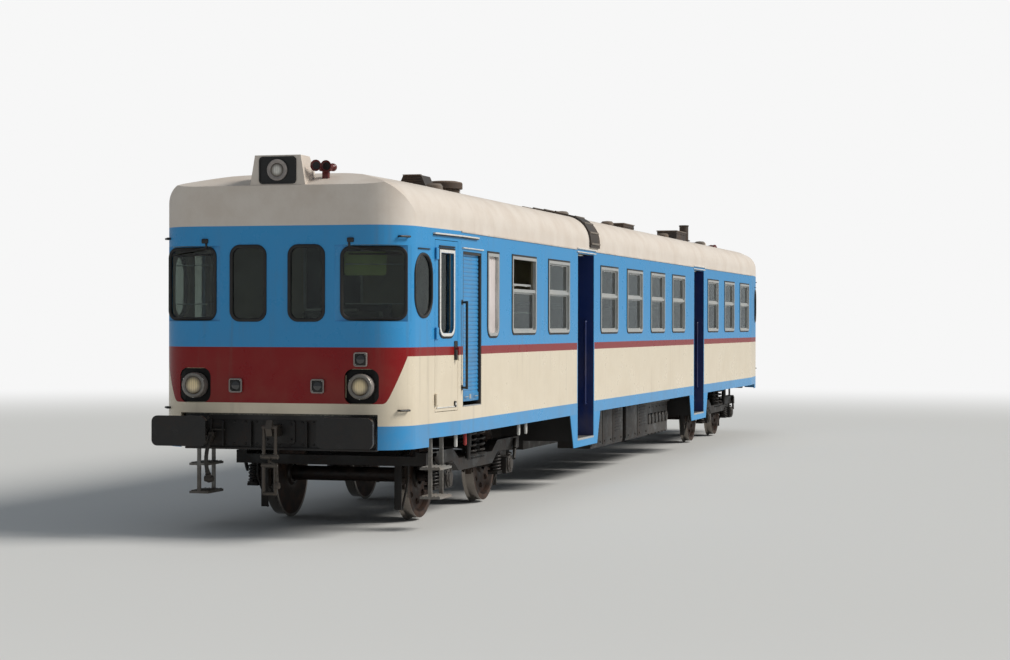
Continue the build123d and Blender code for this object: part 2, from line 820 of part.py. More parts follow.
centre_pane_outline = chamfer(
    Rectangle(centre_hole_width + 2 * pane_lap, centre_hole_height + 2 * pane_lap).vertices(), centre_chamfer
)
centre_pane = plate(centre_plane, centre_pane_outline, -seal_depth - glass_thickness, -seal_depth)
pill_plane = on_cab_side(pill_x, pill_middle)
pill_hole_width = pill_width - 2 * pill_band
pill_hole_height = pill_height - 2 * pill_band
pill_hole_corner = (min(pill_hole_width, pill_hole_height) - pill_band) / 2
pill_hole = RectangleRounded(pill_hole_width, pill_hole_height, pill_hole_corner)
pill_seal = plate(pill_plane, pill_outline, -seal_proud, seal_depth)
pill_seal -= plate(pill_plane, pill_hole, -wall, wall)
pill_pane_outline = chamfer(
    Rectangle(pill_hole_width + 2 * pane_lap, pill_hole_height + 2 * pane_lap).vertices(), pill_chamfer
)
pill_pane = plate(pill_plane, pill_pane_outline, seal_depth, seal_depth + glass_thickness)
for place in (lambda shape: shape, flip):
    seals += [place(outer_seal), place(centre_seal), place(pill_seal)]
    screens += [place(outer_pane), place(centre_pane), place(pill_pane)]
write("windscreen_seals", both_ends(seals))
write("windscreens", both_ends(screens))

# Luggage shutter: a corrugated curtain in its recess, not quite down
curtain_low_z = rail_z + shutter_low_height + shutter_opened
curtain_high_z = rail_z + shutter_high_height - fit_gap
ribs = round((curtain_high_z - curtain_low_z) / shutter_rib_pitch)
rib_height = (curtain_high_z - curtain_low_z) / ribs
curtain_y = body_half_width - shutter_recess
curtain_outline = [(curtain_y - shutter_sheet, curtain_low_z)]
for index in range(ribs):
    low_z = curtain_low_z + index * rib_height
    curtain_outline.append((curtain_y, low_z))
    curtain_outline.append((curtain_y + shutter_rib_depth, low_z + rib_height / 2))
curtain_outline += [(curtain_y, curtain_high_z), (curtain_y - shutter_sheet, curtain_high_z)]
curtain = along_x(curtain_outline, shutter_rear_x + fit_gap, shutter_front_x - fit_gap)
write("luggage_shutters", [curtain, flip(curtain)])

# Partitions, cut to the body's section, with open passages and windows in the cab walls
partition_thickness = 30
passage_half = 330
passage_height = 1950
cab_wall_offset = 35
cab_window_low = 1050
cab_window_high = 1850
luggage_wall_offset = 130
vestibule_half = half_entrance + 2 * partition_thickness
partitions = []
# Columns: x, whether it has a passage or a window
for x, has_passage in (
    (straight_end - cab_wall_offset, False),
    (shutter_rear_x - luggage_wall_offset, True),
    (toilet_wall_x, True),
    (entrance_x + vestibule_half, True),
    (entrance_x - vestibule_half, True),
    (vestibule_half - entrance_x, True),
    (-vestibule_half - entrance_x, True),
    (cab_wall_offset - straight_end, False),
):
    span = (x - partition_thickness / 2, x + partition_thickness / 2)
    section = body_section(span[0], wall + fit_gap, floor_z + fit_gap)
    panel = extrude(section, amount=partition_thickness, dir=(1, 0, 0))
    if has_passage:
        panel -= block(span, (-passage_half, passage_half), (0, floor_z + passage_height))
    else:
        window_z = (floor_z + cab_window_low, floor_z + cab_window_high)
        panel -= block(span, (-passage_half, passage_half), window_z)
    partitions.append(panel)
write("partitions", partitions)

# Seats: facing benches at each window
bench_inner_y = 345
bench_clearance = 20
bay_half = 790
bench_back_height = 1180
bench_back_top = 70
bench_back_foot = 130
cushion_front = 540
cushion_high = 450
cushion_back_high = 480
cushion_low = 330
pedestal_width = 120
bench_outer_y = body_half_width - wall - bench_clearance
benches = []
for x in window_centres:
    for facing in (1, -1):
        heel = x + facing * bay_half
        bench = [
            (heel, floor_z + fit_gap),
            (heel, floor_z + bench_back_height),
            (heel - facing * bench_back_top, floor_z + bench_back_height),
            (heel - facing * bench_back_foot, floor_z + cushion_back_high),
            (heel - facing * cushion_front, floor_z + cushion_high),
            (heel - facing * cushion_front, floor_z + cushion_low),
            (heel - facing * pedestal_width, floor_z + cushion_low),
            (heel - facing * pedestal_width, floor_z + fit_gap),
        ]
        seat = along_y(bench, bench_inner_y, bench_outer_y)
        benches += [seat, flip(seat)]
write("seats", benches)

# Driving desks and seats
desk_back = 640
desk_face = 340
desk_front = 100
desk_low = 760
desk_high = 900
desk_half_width = 1150
chair_back = 1230
chair_size = 400
chair_y = 400
chair_seat = 420
chair_cushion = 80
chair_rest = 1150
chair_rest_thickness = 70
chair_rest_overhang = 60
chair_post_radius = 60
desk_outline = [
    (end_x - desk_back, floor_z + fit_gap),
    (end_x - desk_back, floor_z + desk_low),
    (end_x - desk_face, floor_z + desk_high),
    (end_x - desk_front, floor_z + desk_high),
    (end_x - desk_front, floor_z + fit_gap),
]
desk = along_y(desk_outline, -desk_half_width, desk_half_width)
desk &= cab_form(wall + bench_clearance, floor_z, floor_z + desk_high)
write("driving_desks", both_ends([desk]))
chair_x = end_x - chair_back
chair_span = (chair_y, chair_y + chair_size)
chair_seat_z = (floor_z + chair_seat, floor_z + chair_seat + chair_cushion)
chair_rest_x = (chair_x - chair_rest_overhang, chair_x - chair_rest_overhang + chair_rest_thickness)
chair = block((chair_x, chair_x + chair_size), chair_span, chair_seat_z)
chair += block(chair_rest_x, chair_span, (floor_z + chair_seat, floor_z + chair_rest))
chair_middle = (chair_x + chair_size / 2, chair_y + chair_size / 2)
chair += rod((*chair_middle, floor_z), (*chair_middle, chair_seat_z[1]), chair_post_radius)
write("driver_seats", [chair, turn_round(flip(chair))])

# Lamps in the ends
lamp_proud = 20
marker_y = 439
marker_size = 130
marker_proud = 16
upper_marker_height = 1753
lamps = []
marker_outline = Rectangle(marker_size, marker_size)
for place in (lambda shape: shape, flip):
    headlamp = plate(on_end(lamp_y, lamp_height), Circle(lamp_radius), lamp_back - wall, lamp_proud)
    lamps.append(place(headlamp))
    lamps.append(place(plate(on_end(marker_y, lamp_height), marker_outline, 0, marker_proud)))
lamps.append(plate(on_end(lamp_y, upper_marker_height), marker_outline, 0, marker_proud))
write("end_lamps", lamps + [turn_round(flip(piece)) for piece in lamps])

# Roof headlight housing over each cab, seated on the falling roof
housing_base_half = 305
housing_top_half = 245
housing_sunk = 240
housing_rise = 115
housing_back_drop = 40
housing_front_back = 12
housing_length = 330
housing_crown = 250
headlight_drop = 35
headlight_radius = 105
headlight_proud = 16
housing_front_x = end_x - housing_front_back
housing_back_x = housing_front_x - housing_length
housing_low_z = rail_z + crest_height - housing_sunk
housing_top_z = rail_z + crest_height + housing_rise
headlight_height = crest_height - headlight_drop
housing_face = [
    (-housing_base_half, housing_low_z),
    (housing_base_half, housing_low_z),
    (housing_top_half, housing_top_z),
    (-housing_top_half, housing_top_z),
]
housing_side = [
    (housing_back_x, housing_low_z),
    (housing_front_x, housing_low_z),
    (housing_front_x, housing_top_z),
    (housing_front_x - housing_crown, housing_top_z),
    (housing_back_x, rail_z + crest_height - housing_back_drop),
]
housing = along_x(housing_face, housing_back_x, housing_front_x)
housing &= along_y(housing_side, -housing_base_half, housing_base_half)
housing -= dome_outer
lamp_face = headlight_proud - housing_front_back
housing += plate(on_end(0, headlight_height), Circle(headlight_radius), -2 * housing_front_back, lamp_face)
write("roof_headlights", both_ends([housing]))

# Two horns beside the headlight, each on a foot
horn_drop = 10
horn_length = 300
horn_bell_length = 80
horn_throat_radius = 26
horn_bell_radius = 56
horn_foot_back = 240
horn_foot_half = 24
horn_z = rail_z + crest_height - horn_drop
horns = []
# Columns: how far beside the housing's foot, how far the bell's mouth is behind the front
for beside, set_back in ((105, 80), (235, 180)):
    y = housing_base_half + beside
    mouth_x = end_x - set_back
    throat_x = mouth_x - horn_bell_length
    horn = rod((mouth_x - horn_length, y, horn_z), (throat_x, y, horn_z), horn_throat_radius)
    horn += rod((throat_x, y, horn_z), (mouth_x, y, horn_z), horn_bell_radius)
    foot_x = mouth_x - horn_foot_back
    horn_foot = block(
        (foot_x - horn_foot_half, foot_x + horn_foot_half),
        (y - horn_foot_half, y + horn_foot_half),
        (housing_low_z, horn_z),
    )
    horns.append(horn + (horn_foot - dome_outer))
write("horns", horns + [turn_round(flip(horn)) for horn in horns])

# Roof fittings: a scoop, a round ventilator, low vents, the exhaust stack and the ladder over an entrance
fittings = []
fitting_foot = rail_z + cornice_height
scoop_x = (7150, 7500)
scoop_y = 150
scoop_foot_half = 190
scoop_top_half = 110
scoop_rise = 180
ventilator_place = (6150, 120)
ventilator_radius = 190
ventilator_cap_radius = 230
ventilator_neck_rise = 100
ventilator_rise = 170
stack_place = (-8150, 400)
stack_radius = 85
stack_rise = 320
scoop_profile = [
    (scoop_y - scoop_foot_half, fitting_foot),
    (scoop_y + scoop_foot_half, fitting_foot),
    (scoop_y + scoop_foot_half, rail_z + crest_height),
    (scoop_y + scoop_top_half, rail_z + crest_height + scoop_rise),
    (scoop_y - scoop_top_half, rail_z + crest_height + scoop_rise),
    (scoop_y - scoop_foot_half, rail_z + crest_height),
]
fittings.append(along_x(scoop_profile, *scoop_x) - roof_outer)
neck_top = (*ventilator_place, rail_z + crest_height + ventilator_neck_rise)
ventilator = rod((*ventilator_place, fitting_foot), neck_top, ventilator_radius)
cap_top = (*ventilator_place, rail_z + crest_height + ventilator_rise)
ventilator += rod(neck_top, cap_top, ventilator_cap_radius)
fittings.append(ventilator - roof_outer)
stack = rod((*stack_place, fitting_foot), (*stack_place, rail_z + crest_height + stack_rise), stack_radius)
fittings.append(stack - roof_outer)
# Columns: x range, y range, rise above the crest
for x_span, y_span, rise in (
    ((-3300, -2500), (120, 480), 90),
    ((-7500, -6600), (200, 560), 150),
):
    fittings.append(block(x_span, y_span, (fitting_foot, rail_z + crest_height + rise)) - roof_outer)
ladder_rear_x = 3400
ladder_width = 520
ladder_thickness = 24
ladder_drop = 70
ladder_inner_y = 150
ladder = extrude(
    body_section(ladder_rear_x, -ladder_thickness, entrance_top_z), amount=ladder_width, dir=(1, 0, 0)
)
ladder &= block(
    (ladder_rear_x, ladder_rear_x + ladder_width),
    (ladder_inner_y, beyond_y),
    (rail_z + cornice_height - ladder_drop, beyond_z),
)
fittings.append(ladder - roof_outer)
write("roof_fittings", fittings)

# Buffers and draw gear
buffer_reach = 430
buffer_y = 875
buffer_height = 1040
buffer_head_width = 580
buffer_head_height = 300
buffer_head_thickness = 45
buffer_head_corner = 60
buffer_case_radius = 96
buffer_plunger_radius = 80
buffer_case_length = 270
hook_half = 32
hook_drop = 60
hook_neck = 220
hook_point = 280
hook_length = 310
hook_rise = 110
buffer_z = rail_z + buffer_height
buffer_face_x = end_x + buffer_reach
buffers = []
for y in (buffer_y, -buffer_y):
    case_x = headstock_face_x + buffer_case_length
    buffer = rod((headstock_face_x, y, buffer_z), (case_x, y, buffer_z), buffer_case_radius)
    head_back = (buffer_face_x - buffer_head_thickness, y, buffer_z)
    buffer += rod((case_x, y, buffer_z), head_back, buffer_plunger_radius)
    head_plane = Plane(origin=head_back, x_dir=(0, 1, 0), z_dir=(1, 0, 0))
    head = RectangleRounded(buffer_head_width, buffer_head_height, buffer_head_corner)
    buffers.append(buffer + extrude(head_plane * head, amount=buffer_head_thickness))
write("buffers", both_ends(buffers))
hook_outline = [
    (headstock_face_x, buffer_z - hook_drop),
    (headstock_face_x, buffer_z + hook_drop),
    (headstock_face_x + hook_neck, buffer_z + hook_drop * 2 / 3),
    (headstock_face_x + hook_point, buffer_z + hook_rise),
    (headstock_face_x + hook_length, buffer_z + hook_drop / 3),
    (headstock_face_x + hook_point, buffer_z - hook_drop * 5 / 6),
    (headstock_face_x + hook_neck, buffer_z - hook_drop),
]
hook = along_y(hook_outline, -hook_half, hook_half)
write("draw_hooks", both_ends([hook]))

# Crew steps under the crew doors: two treads on two hangers
step_heights = (300, 600)
step_tread = 25
step_length = 400
step_width = 220
step_inset = 39
hanger_inset = 129
hanger_depth = 40
hanger_width = 20
step_outer_y = body_half_width - step_inset
step_inner_y = step_outer_y - step_width
hanger_y = (body_half_width - hanger_inset - hanger_depth, body_half_width - hanger_inset)
step_x = crew_door_x - step_length / 2
stair = block((step_x, step_x + hanger_width), hanger_y, (rail_z + step_heights[0], floor_under_z))
stair += Pos(step_length - hanger_width, 0, 0) * stair
for height in step_heights:
    tread_z = (rail_z + height, rail_z + height + step_tread)
    stair += block((step_x, step_x + step_length), (step_inner_y, step_outer_y), tread_z)
write("crew_steps", [stair, flip(stair)])

# Handrails between the crew doors and the shutters
rail_stand = 55
rail_radius = 14
rail_foot_radius = 12
rail_low_height = 1420
rail_high_height = 2350
rail_offset = 40
rail_x = straight_end - rail_offset
rail_y = body_half_width + rail_stand
low = (rail_x, rail_y, rail_z + rail_low_height)
high = (rail_x, rail_y, rail_z + rail_high_height)
handrail = rod(low, high, rail_radius)
for end_z in (low[2] + rail_radius, high[2] - rail_radius):
    handrail += rod((rail_x, body_half_width, end_z), (rail_x, rail_y, end_z), rail_foot_radius)
write("handrails", [handrail, flip(handrail)])

# Machinery under the floor
engine_x = (1100, 3050)
engine_y = (-1100, 300)
engine_low_height = 380
engine_top_gap = 20
case_y = (750, 1220)
case_low_height = 400
case_spans = ((900, 2900), (-900, 700))
tank_radius = 170
tank_height = 700
tank_reach = 650
tank_strap_y = 400
member_low_z = member_z[0]
engine = block(engine_x, engine_y, (rail_z + engine_low_height, member_low_z - engine_top_gap))
for x in (bearer_pitch, 2 * bearer_pitch):
    hanger_x = (x - bearer_width / 2, x + bearer_width / 2)
    engine += block(hanger_x, engine_y, (member_low_z - engine_top_gap, member_low_z))
write("engines", [engine, turn_round(flip(engine))])
cases = [block(span, case_y, (rail_z + case_low_height, member_low_z)) for span in case_spans]
write("equipment_boxes", cases + [turn_round(flip(case)) for case in cases])
tank_z = rail_z + tank_height
tank = rod((0, -tank_reach, tank_z), (0, tank_reach, tank_z), tank_radius)
for y in (-tank_strap_y, tank_strap_y):
    strap_y = (y - bearer_width / 2, y + bearer_width / 2)
    tank += block((-bearer_width / 2, bearer_width / 2), strap_y, (tank_z, member_low_z))
write("air_reservoirs", [tank])

# Brake pipe at each end: a cock on the headstock, a hanging hose and its coupling head
cock_y = -720
cock_height = 980
cock_body = 60
cock_half = 30
cock_spout = 90
cock_spout_radius = 26
cock_slope = 45
hose_radius = 20
hose_run = 60
hose_runs = 6
hose_turn = 15
head_length = 90
head_radius = 30
cock_z = rail_z + cock_height
cock_x = headstock_face_x + cock_body / 2


def downward(slope):
    """A direction forwards and down by a slope in degrees."""
    return Vector(cos(radians(slope)), 0, -sin(radians(slope)))


cock_middle = Vector(cock_x, cock_y, cock_z)
spout_end = cock_middle + downward(cock_slope) * cock_spout
cock_span = (cock_y - cock_half, cock_y + cock_half)
cock_depth = (cock_z - cock_half, cock_z + cock_half)
cock = block((headstock_face_x, headstock_face_x + cock_body), cock_span, cock_depth)
cock += rod(tuple(cock_middle), tuple(spout_end), cock_spout_radius)
route = [spout_end]
for index in range(hose_runs):
    route.append(route[-1] + downward(cock_slope + index * hose_turn) * hose_run)
bend_radius = 0.45 * hose_run / tan(radians(hose_turn / 2))
print("hose bend radius", round(bend_radius), "mm, diameter", 2 * hose_radius, "mm")
path = FilletPolyline(*route, radius=bend_radius)
hose = sweep(Plane(origin=spout_end, z_dir=downward(cock_slope)) * Circle(hose_radius), path=path)
head_end = route[-1] + downward(cock_slope + (hose_runs - 1) * hose_turn) * head_length
coupling = rod(tuple(route[-1]), tuple(head_end), head_radius)
fittings = [cock, coupling]
write("brake_fittings", fittings + [turn_round(flip(piece)) for piece in fittings])
write("brake_hose_front", [hose])
write("brake_hose_rear", [turn_round(flip(hose))])

# Wheelsets: an axle with journals, and two wheels on its seats
flange_radius = wheel_radius + flange_depth
axle_z = rail_z + wheel_radius
journal_y = 1000
journal_radius = 65
journal_end = 110
axle_radius = 80
wheel_seat_radius = 95
seat_lap = 10
flange_clearance = 5
rim_depth = 66
web_set_back = 45
wheel_back_y = gauge / 2 - flange_width - flange_clearance
rim_y = wheel_back_y + flange_width + tread_width


def axle(x):
    """The axle: a middle, two wheel seats and two journals."""
    outline = [
        (0, 0),
        (0, axle_radius),
        (wheel_back_y - seat_lap, axle_radius),
        (wheel_back_y - seat_lap, wheel_seat_radius),
        (rim_y - web_set_back + seat_lap, wheel_seat_radius),
        (rim_y - web_set_back + seat_lap, journal_radius),
        (journal_y + journal_end, journal_radius),
        (journal_y + journal_end, 0),
    ]
    face = make_face(Polyline([(x, y, axle_z + radius) for y, radius in outline], close=True))
    half = revolve(face, axis=Axis((x, 0, axle_z), (0, 1, 0)), revolution_arc=360)
    return half + flip(half)


def wheel(x):
    """A left wheel with its flange, tread, rim and web."""
    bore_radius = wheel_seat_radius + fit_gap
    outline = [
        (wheel_back_y, bore_radius),
        (wheel_back_y, flange_radius),
        (wheel_back_y + flange_width, wheel_radius),
        (rim_y, wheel_radius),
        (rim_y, wheel_radius - rim_depth),
        (rim_y - web_set_back, wheel_radius - rim_depth - web_set_back / 2),
        (rim_y - web_set_back, bore_radius),
    ]
    face = make_face(Polyline([(x, y, axle_z + radius) for y, radius in outline], close=True))
    return revolve(face, axis=Axis((x, 0, axle_z), (0, 1, 0)), revolution_arc=360)


bogie_places = (bogie_centres / 2, -bogie_centres / 2)
axle_places = [middle + offset for middle in bogie_places for offset in (wheelbase / 2, -wheelbase / 2)]
for number, x in enumerate(axle_places, 1):
    write("wheelset_" + str(number), [axle(x), wheel(x), flip(wheel(x))])

# Bogies: a frame with cranked side beams, a pierced transom and end beams
bogie_overhang = 628
beam_y = (960, 1080)
beam_depth = 140
beam_raised = 740
beam_low = 620
beam_flat = 330
crank_run = 230
transom_half = 200
transom_depth = 180
end_beam_width = 90
end_beam_depth = 100
bogie_half = wheelbase / 2 + bogie_overhang


def bogie_frame(x):
    """One bogie's frame."""
    top = [
        (-bogie_half, beam_raised),
        (-wheelbase / 2 + beam_flat, beam_raised),
        (-wheelbase / 2 + beam_flat + crank_run, beam_low),
        (wheelbase / 2 - beam_flat - crank_run, beam_low),
        (wheelbase / 2 - beam_flat, beam_raised),
        (bogie_half, beam_raised),
    ]
    outline = top + [(offset, height - beam_depth) for offset, height in reversed(top)]
    beam = along_y([(x + offset, rail_z + height) for offset, height in outline], *beam_y)
    frame = beam + flip(beam)
    inside = (-beam_y[0], beam_y[0])
    transom_low = rail_z + beam_low - beam_depth
    frame += block((x - transom_half, x + transom_half), inside, (transom_low, transom_low + transom_depth))
    end_z = (rail_z + beam_raised - beam_depth, rail_z + beam_raised - beam_depth + end_beam_depth)
    for end in (x - bogie_half, x + bogie_half - end_beam_width):
        frame += block((end, end + end_beam_width), inside, end_z)
    return frame - rod((x, 0, 0), (x, 0, floor_z), pivot_radius + moving_gap)


# Axle boxes, each with two spring posts between its wings and the beam
box_half = 130
box_in_y = 930
box_out_y = 1130
box_up = 70
box_down = 130
wing_offset = 240
wing_half = 90
wing_thickness = 30
post_radius = 45
journal_clearance = 1


def axle_box(x):
    """A left axle box with its wings and spring posts."""
    y_span = (box_in_y, box_out_y)
    box = block((x - box_half, x + box_half), y_span, (axle_z - box_down, axle_z + box_up))
    wing_z = (axle_z - box_down, axle_z - box_down + wing_thickness)
    box += block((x - wing_offset - wing_half, x + wing_offset + wing_half), (beam_y[0], beam_y[1]), wing_z)
    for offset in (-wing_offset, wing_offset):
        low_end = (x + offset, sum(beam_y) / 2, wing_z[1])
        box += rod(low_end, (x + offset, sum(beam_y) / 2, rail_z + beam_raised - beam_depth), post_radius)
    bore_end = journal_y + journal_end + moving_gap
    return box - rod((x, 0, axle_z), (x, bore_end, axle_z), journal_radius + journal_clearance)


for name, x in (("front", bogie_centres / 2), ("rear", -bogie_centres / 2)):
    boxes = [axle_box(x - wheelbase / 2), axle_box(x + wheelbase / 2)]
    write("bogie_frame_" + name, [bogie_frame(x)])
    write("bogie_axle_boxes_" + name, boxes + [flip(box) for box in boxes])
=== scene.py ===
import math

import bmesh
import bpy
from mathutils import Color, Matrix, Vector


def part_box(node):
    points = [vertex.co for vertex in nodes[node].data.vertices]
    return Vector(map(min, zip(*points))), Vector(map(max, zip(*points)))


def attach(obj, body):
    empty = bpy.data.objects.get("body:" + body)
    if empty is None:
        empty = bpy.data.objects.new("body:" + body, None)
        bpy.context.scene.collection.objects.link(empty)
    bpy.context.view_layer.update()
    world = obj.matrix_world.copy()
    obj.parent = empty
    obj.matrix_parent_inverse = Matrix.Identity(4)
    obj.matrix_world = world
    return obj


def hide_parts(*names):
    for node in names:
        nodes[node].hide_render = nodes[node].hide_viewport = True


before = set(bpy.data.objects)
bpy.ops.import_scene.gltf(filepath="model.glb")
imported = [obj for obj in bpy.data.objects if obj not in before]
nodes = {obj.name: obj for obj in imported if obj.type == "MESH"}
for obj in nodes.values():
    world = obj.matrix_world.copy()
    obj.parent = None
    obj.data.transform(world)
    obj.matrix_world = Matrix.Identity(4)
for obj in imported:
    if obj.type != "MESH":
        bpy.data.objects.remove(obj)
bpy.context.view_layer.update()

# Stage and light
# A pale studio floor that runs out into a white background, one broad warm key light from the left side
# and behind, a cool fill from all round, and the camera at the leading corner at standing height.

FLOOR_REACH = 150.0
FLOOR_CLEAR = 16.0
FLOOR_FADE = 42.0
BACKGROUND = 0.93
FILL = 0.31
KEY = 3.0
CAMERA_PLACE = (30.788, 7.85, 2.117)
CAMERA_YAW = -2.867
CAMERA_PITCH = -0.002
CAMERA_ROLL = 0.002
CAMERA_LENS = 74.25


def rgb(red, green, blue):
    """A colour from its display values, 0 to 255."""
    return (*Color((red / 255, green / 255, blue / 255)).from_srgb_to_scene_linear(), 1.0)


def add(tree, kind, inputs, output=0, **settings):
    """Adds a node, fills its inputs with values or other nodes' outputs, and gives one output."""
    node = tree.nodes.new(kind)
    for name, value in settings.items():
        setattr(node, name, value)
    for name, value in inputs.items():
        if isinstance(value, bpy.types.NodeSocket):
            tree.links.new(value, node.inputs[name])
        else:
            node.inputs[name].default_value = value
    return node.outputs[output]


def calc(tree, operation, first, second=0.0, clamp=False):
    """One arithmetic operation on two values."""
    return add(tree, "ShaderNodeMath", {0: first, 1: second}, operation=operation, use_clamp=clamp)


def ramp(tree, value, low, high):
    """A mask that rises from 0 to 1 between two values."""
    return add(tree, "ShaderNodeMapRange", {0: value, 1: low, 2: high}, interpolation_type="SMOOTHSTEP")


def finish(name):
    """A new material: its tree, its Principled shader and the place of each point of the object."""
    material = bpy.data.materials.new(name)
    material.use_nodes = True
    tree = material.node_tree
    return material, tree, tree.nodes["Principled BSDF"], add(tree, "ShaderNodeTexCoord", {}, "Object")


floor_material, tree, shader, place = finish("studio_floor")
shader.inputs["Base Color"].default_value = rgb(214, 214, 212)
shader.inputs["Roughness"].default_value = 0.9
distance = add(tree, "ShaderNodeVectorMath", {0: place}, "Value", operation="LENGTH")
far = ramp(tree, distance, FLOOR_CLEAR, FLOOR_FADE)
camera_ray = add(tree, "ShaderNodeLightPath", {}, "Is Camera Ray")
white = add(tree, "ShaderNodeEmission", {"Color": (BACKGROUND, BACKGROUND, BACKGROUND, 1.0), "Strength": 1.0})
faded = add(
    tree, "ShaderNodeMixShader",
    {0: calc(tree, "MULTIPLY", far, camera_ray), 1: shader.outputs[0], 2: white}
)
from_below = calc(tree, "MULTIPLY", add(tree, "ShaderNodeNewGeometry", {}, "Backfacing"), camera_ray)
clear = add(tree, "ShaderNodeBsdfTransparent", {})
tree.links.new(
    add(tree, "ShaderNodeMixShader", {0: from_below, 1: faded, 2: clear}),
    tree.nodes["Material Output"].inputs["Surface"]
)
mesh = bmesh.new()
bmesh.ops.create_grid(mesh, x_segments=1, y_segments=1, size=FLOOR_REACH)
floor_mesh = bpy.data.meshes.new("studio_floor")
mesh.to_mesh(floor_mesh)
mesh.free()
studio_floor = bpy.data.objects.new("studio_floor", floor_mesh)
bpy.context.scene.collection.objects.link(studio_floor)
studio_floor.location.z = -0.002
studio_floor.data.materials.append(floor_material)

world = bpy.data.worlds.new("studio")
bpy.context.scene.world = world
world.use_nodes = True
tree = world.node_tree
light_path = tree.nodes.new("ShaderNodeLightPath")
seen = calc(tree, "MAXIMUM", light_path.outputs["Is Camera Ray"], light_path.outputs["Is Transmission Ray"])
sky = add(tree, "ShaderNodeBackground", {"Color": (0.86, 0.93, 1.0, 1.0), "Strength": FILL})
pale = add(
    tree, "ShaderNodeBackground", {"Color": (BACKGROUND, BACKGROUND, BACKGROUND, 1.0), "Strength": 1.0}
)
both = add(tree, "ShaderNodeMixShader", {0: seen, 1: sky, 2: pale})
tree.links.new(both, tree.nodes["World Output"].inputs["Surface"])

key = bpy.data.lights.new("key", "SUN")
key.energy = KEY
key.angle = math.radians(24)
key.color = (1.0, 0.965, 0.91)
key_lamp = bpy.data.objects.new("key", key)
key_lamp.rotation_euler = Vector((-0.22, 0.76, 0.62)).to_track_quat("Z", "Y").to_euler()
bpy.context.scene.collection.objects.link(key_lamp)

camera = bpy.data.cameras.new("camera")
camera.sensor_width = 36
camera.lens = CAMERA_LENS
camera.clip_end = 500
camera_object = bpy.data.objects.new("camera", camera)
camera_object.location = CAMERA_PLACE
ahead = Vector((
    math.cos(CAMERA_PITCH) * math.cos(CAMERA_YAW),
    math.cos(CAMERA_PITCH) * math.sin(CAMERA_YAW),
    math.sin(CAMERA_PITCH),
))
camera_object.rotation_euler = (
    ahead.to_track_quat("-Z", "Y") @ Matrix.Rotation(CAMERA_ROLL, 3, "Z").to_quaternion()
).to_euler()
bpy.context.scene.collection.objects.link(camera_object)
bpy.context.scene.camera = camera_object
bpy.context.scene.view_settings.view_transform = "Standard"

# Body shell
# Steel sheet on a welded frame, filled and sprayed in gloss coats: blue over a red line over ivory, a blue
# band along the skirt, a red panel across each nose and an ivory roof gone dull with dust.

RAIL = 0.028
ROOF_LINE = RAIL + 3.088
WAIST = RAIL + 1.872
STRIPE_FOOT = RAIL + 1.782
SKIRT_LINE = RAIL + 1.09
PANEL_FOOT = RAIL + 1.311
PANEL_HALF = 1.20
PANEL_SLANT = 1.35
PAINT_EDGE = 0.002
NOSE_CORNER = (10.89, 0.45)
LAMP_POCKET = (0.892, RAIL + 1.484, 0.17)
ROOF_CENTRE_Z = -1.268
HAUNCH = (1.089, 3.228)
BLUE = rgb(56, 146, 204)
RED = rgb(134, 8, 14)
IVORY = rgb(222, 210, 188)
ROOF_IVORY = rgb(216, 207, 197)
# SHADED_BLUE is painted shade: the body blue darkened as it looks deep inside the recessed doorways.
SHADED_BLUE = rgb(16, 44, 104)
LINING = rgb(196, 186, 158)
UNDERSEAL = rgb(30, 28, 27)
STRAIGHT_END = 9.75
TAPER = 0.139 / 1.59
WALL_Y = 1.439
INNER_CORNER = 0.422
INNER_NOSE = 11.31
INNER_CROWN = 4.946
INNER_HAUNCH = 0.320
LINED_FROM = (1.19, 1.20)
POCKET_SKIN = (0.4475, 0.4455)
POCKET_BACK = (10.99, 11.0)
nose_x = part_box("cab_shells")[1].x


def new_group(name, sockets):
    """A shader node group with named sockets: (name, in or out, type, value)."""
    group = bpy.data.node_groups.new(name, "ShaderNodeTree")
    for label, way, kind, value in sockets:
        socket = group.interface.new_socket(label, in_out=way, socket_type="NodeSocket" + kind)
        if value is not None:
            socket.default_value = value
    start = group.nodes.new("NodeGroupInput")
    end = group.nodes.new("NodeGroupOutput")
    return group, start.outputs, end.inputs


def mix(tree, mask, first, second, blend="MIX"):
    """Two colours mixed by a mask."""
    return add(tree, "ShaderNodeMix", {0: mask, 6: first, 7: second}, 2, data_type="RGBA", blend_type=blend)


def noise(tree, place, scale, detail, roughness=0.5):
    """A cloudy value, with blotches of about one over its scale in metres."""
    inputs = {"Vector": place, "Scale": scale, "Detail": detail, "Roughness": roughness}
    return add(tree, "ShaderNodeTexNoise", inputs)


def feed(shader, name, value):
    """Links a value to one of a shader's inputs."""
    shader.id_data.links.new(value, shader.inputs[name])


def above(tree, value, limit):
    """A mask of what lies over a limit, as sharp as a masked edge of paint."""
    return ramp(tree, value, limit - PAINT_EDGE, limit + PAINT_EDGE)


def below(tree, value, limit):
    """A mask of what lies under a limit, as sharp."""
    return ramp(tree, value, limit + PAINT_EDGE, limit - PAINT_EDGE)


def radius_of(tree, beside, over):
    """How far a point lies from a centre that it is so far beside and so far over."""
    arms = add(tree, "ShaderNodeCombineXYZ", {0: beside, 1: over})
    return add(tree, "ShaderNodeVectorMath", {0: arms}, "Value", operation="LENGTH")


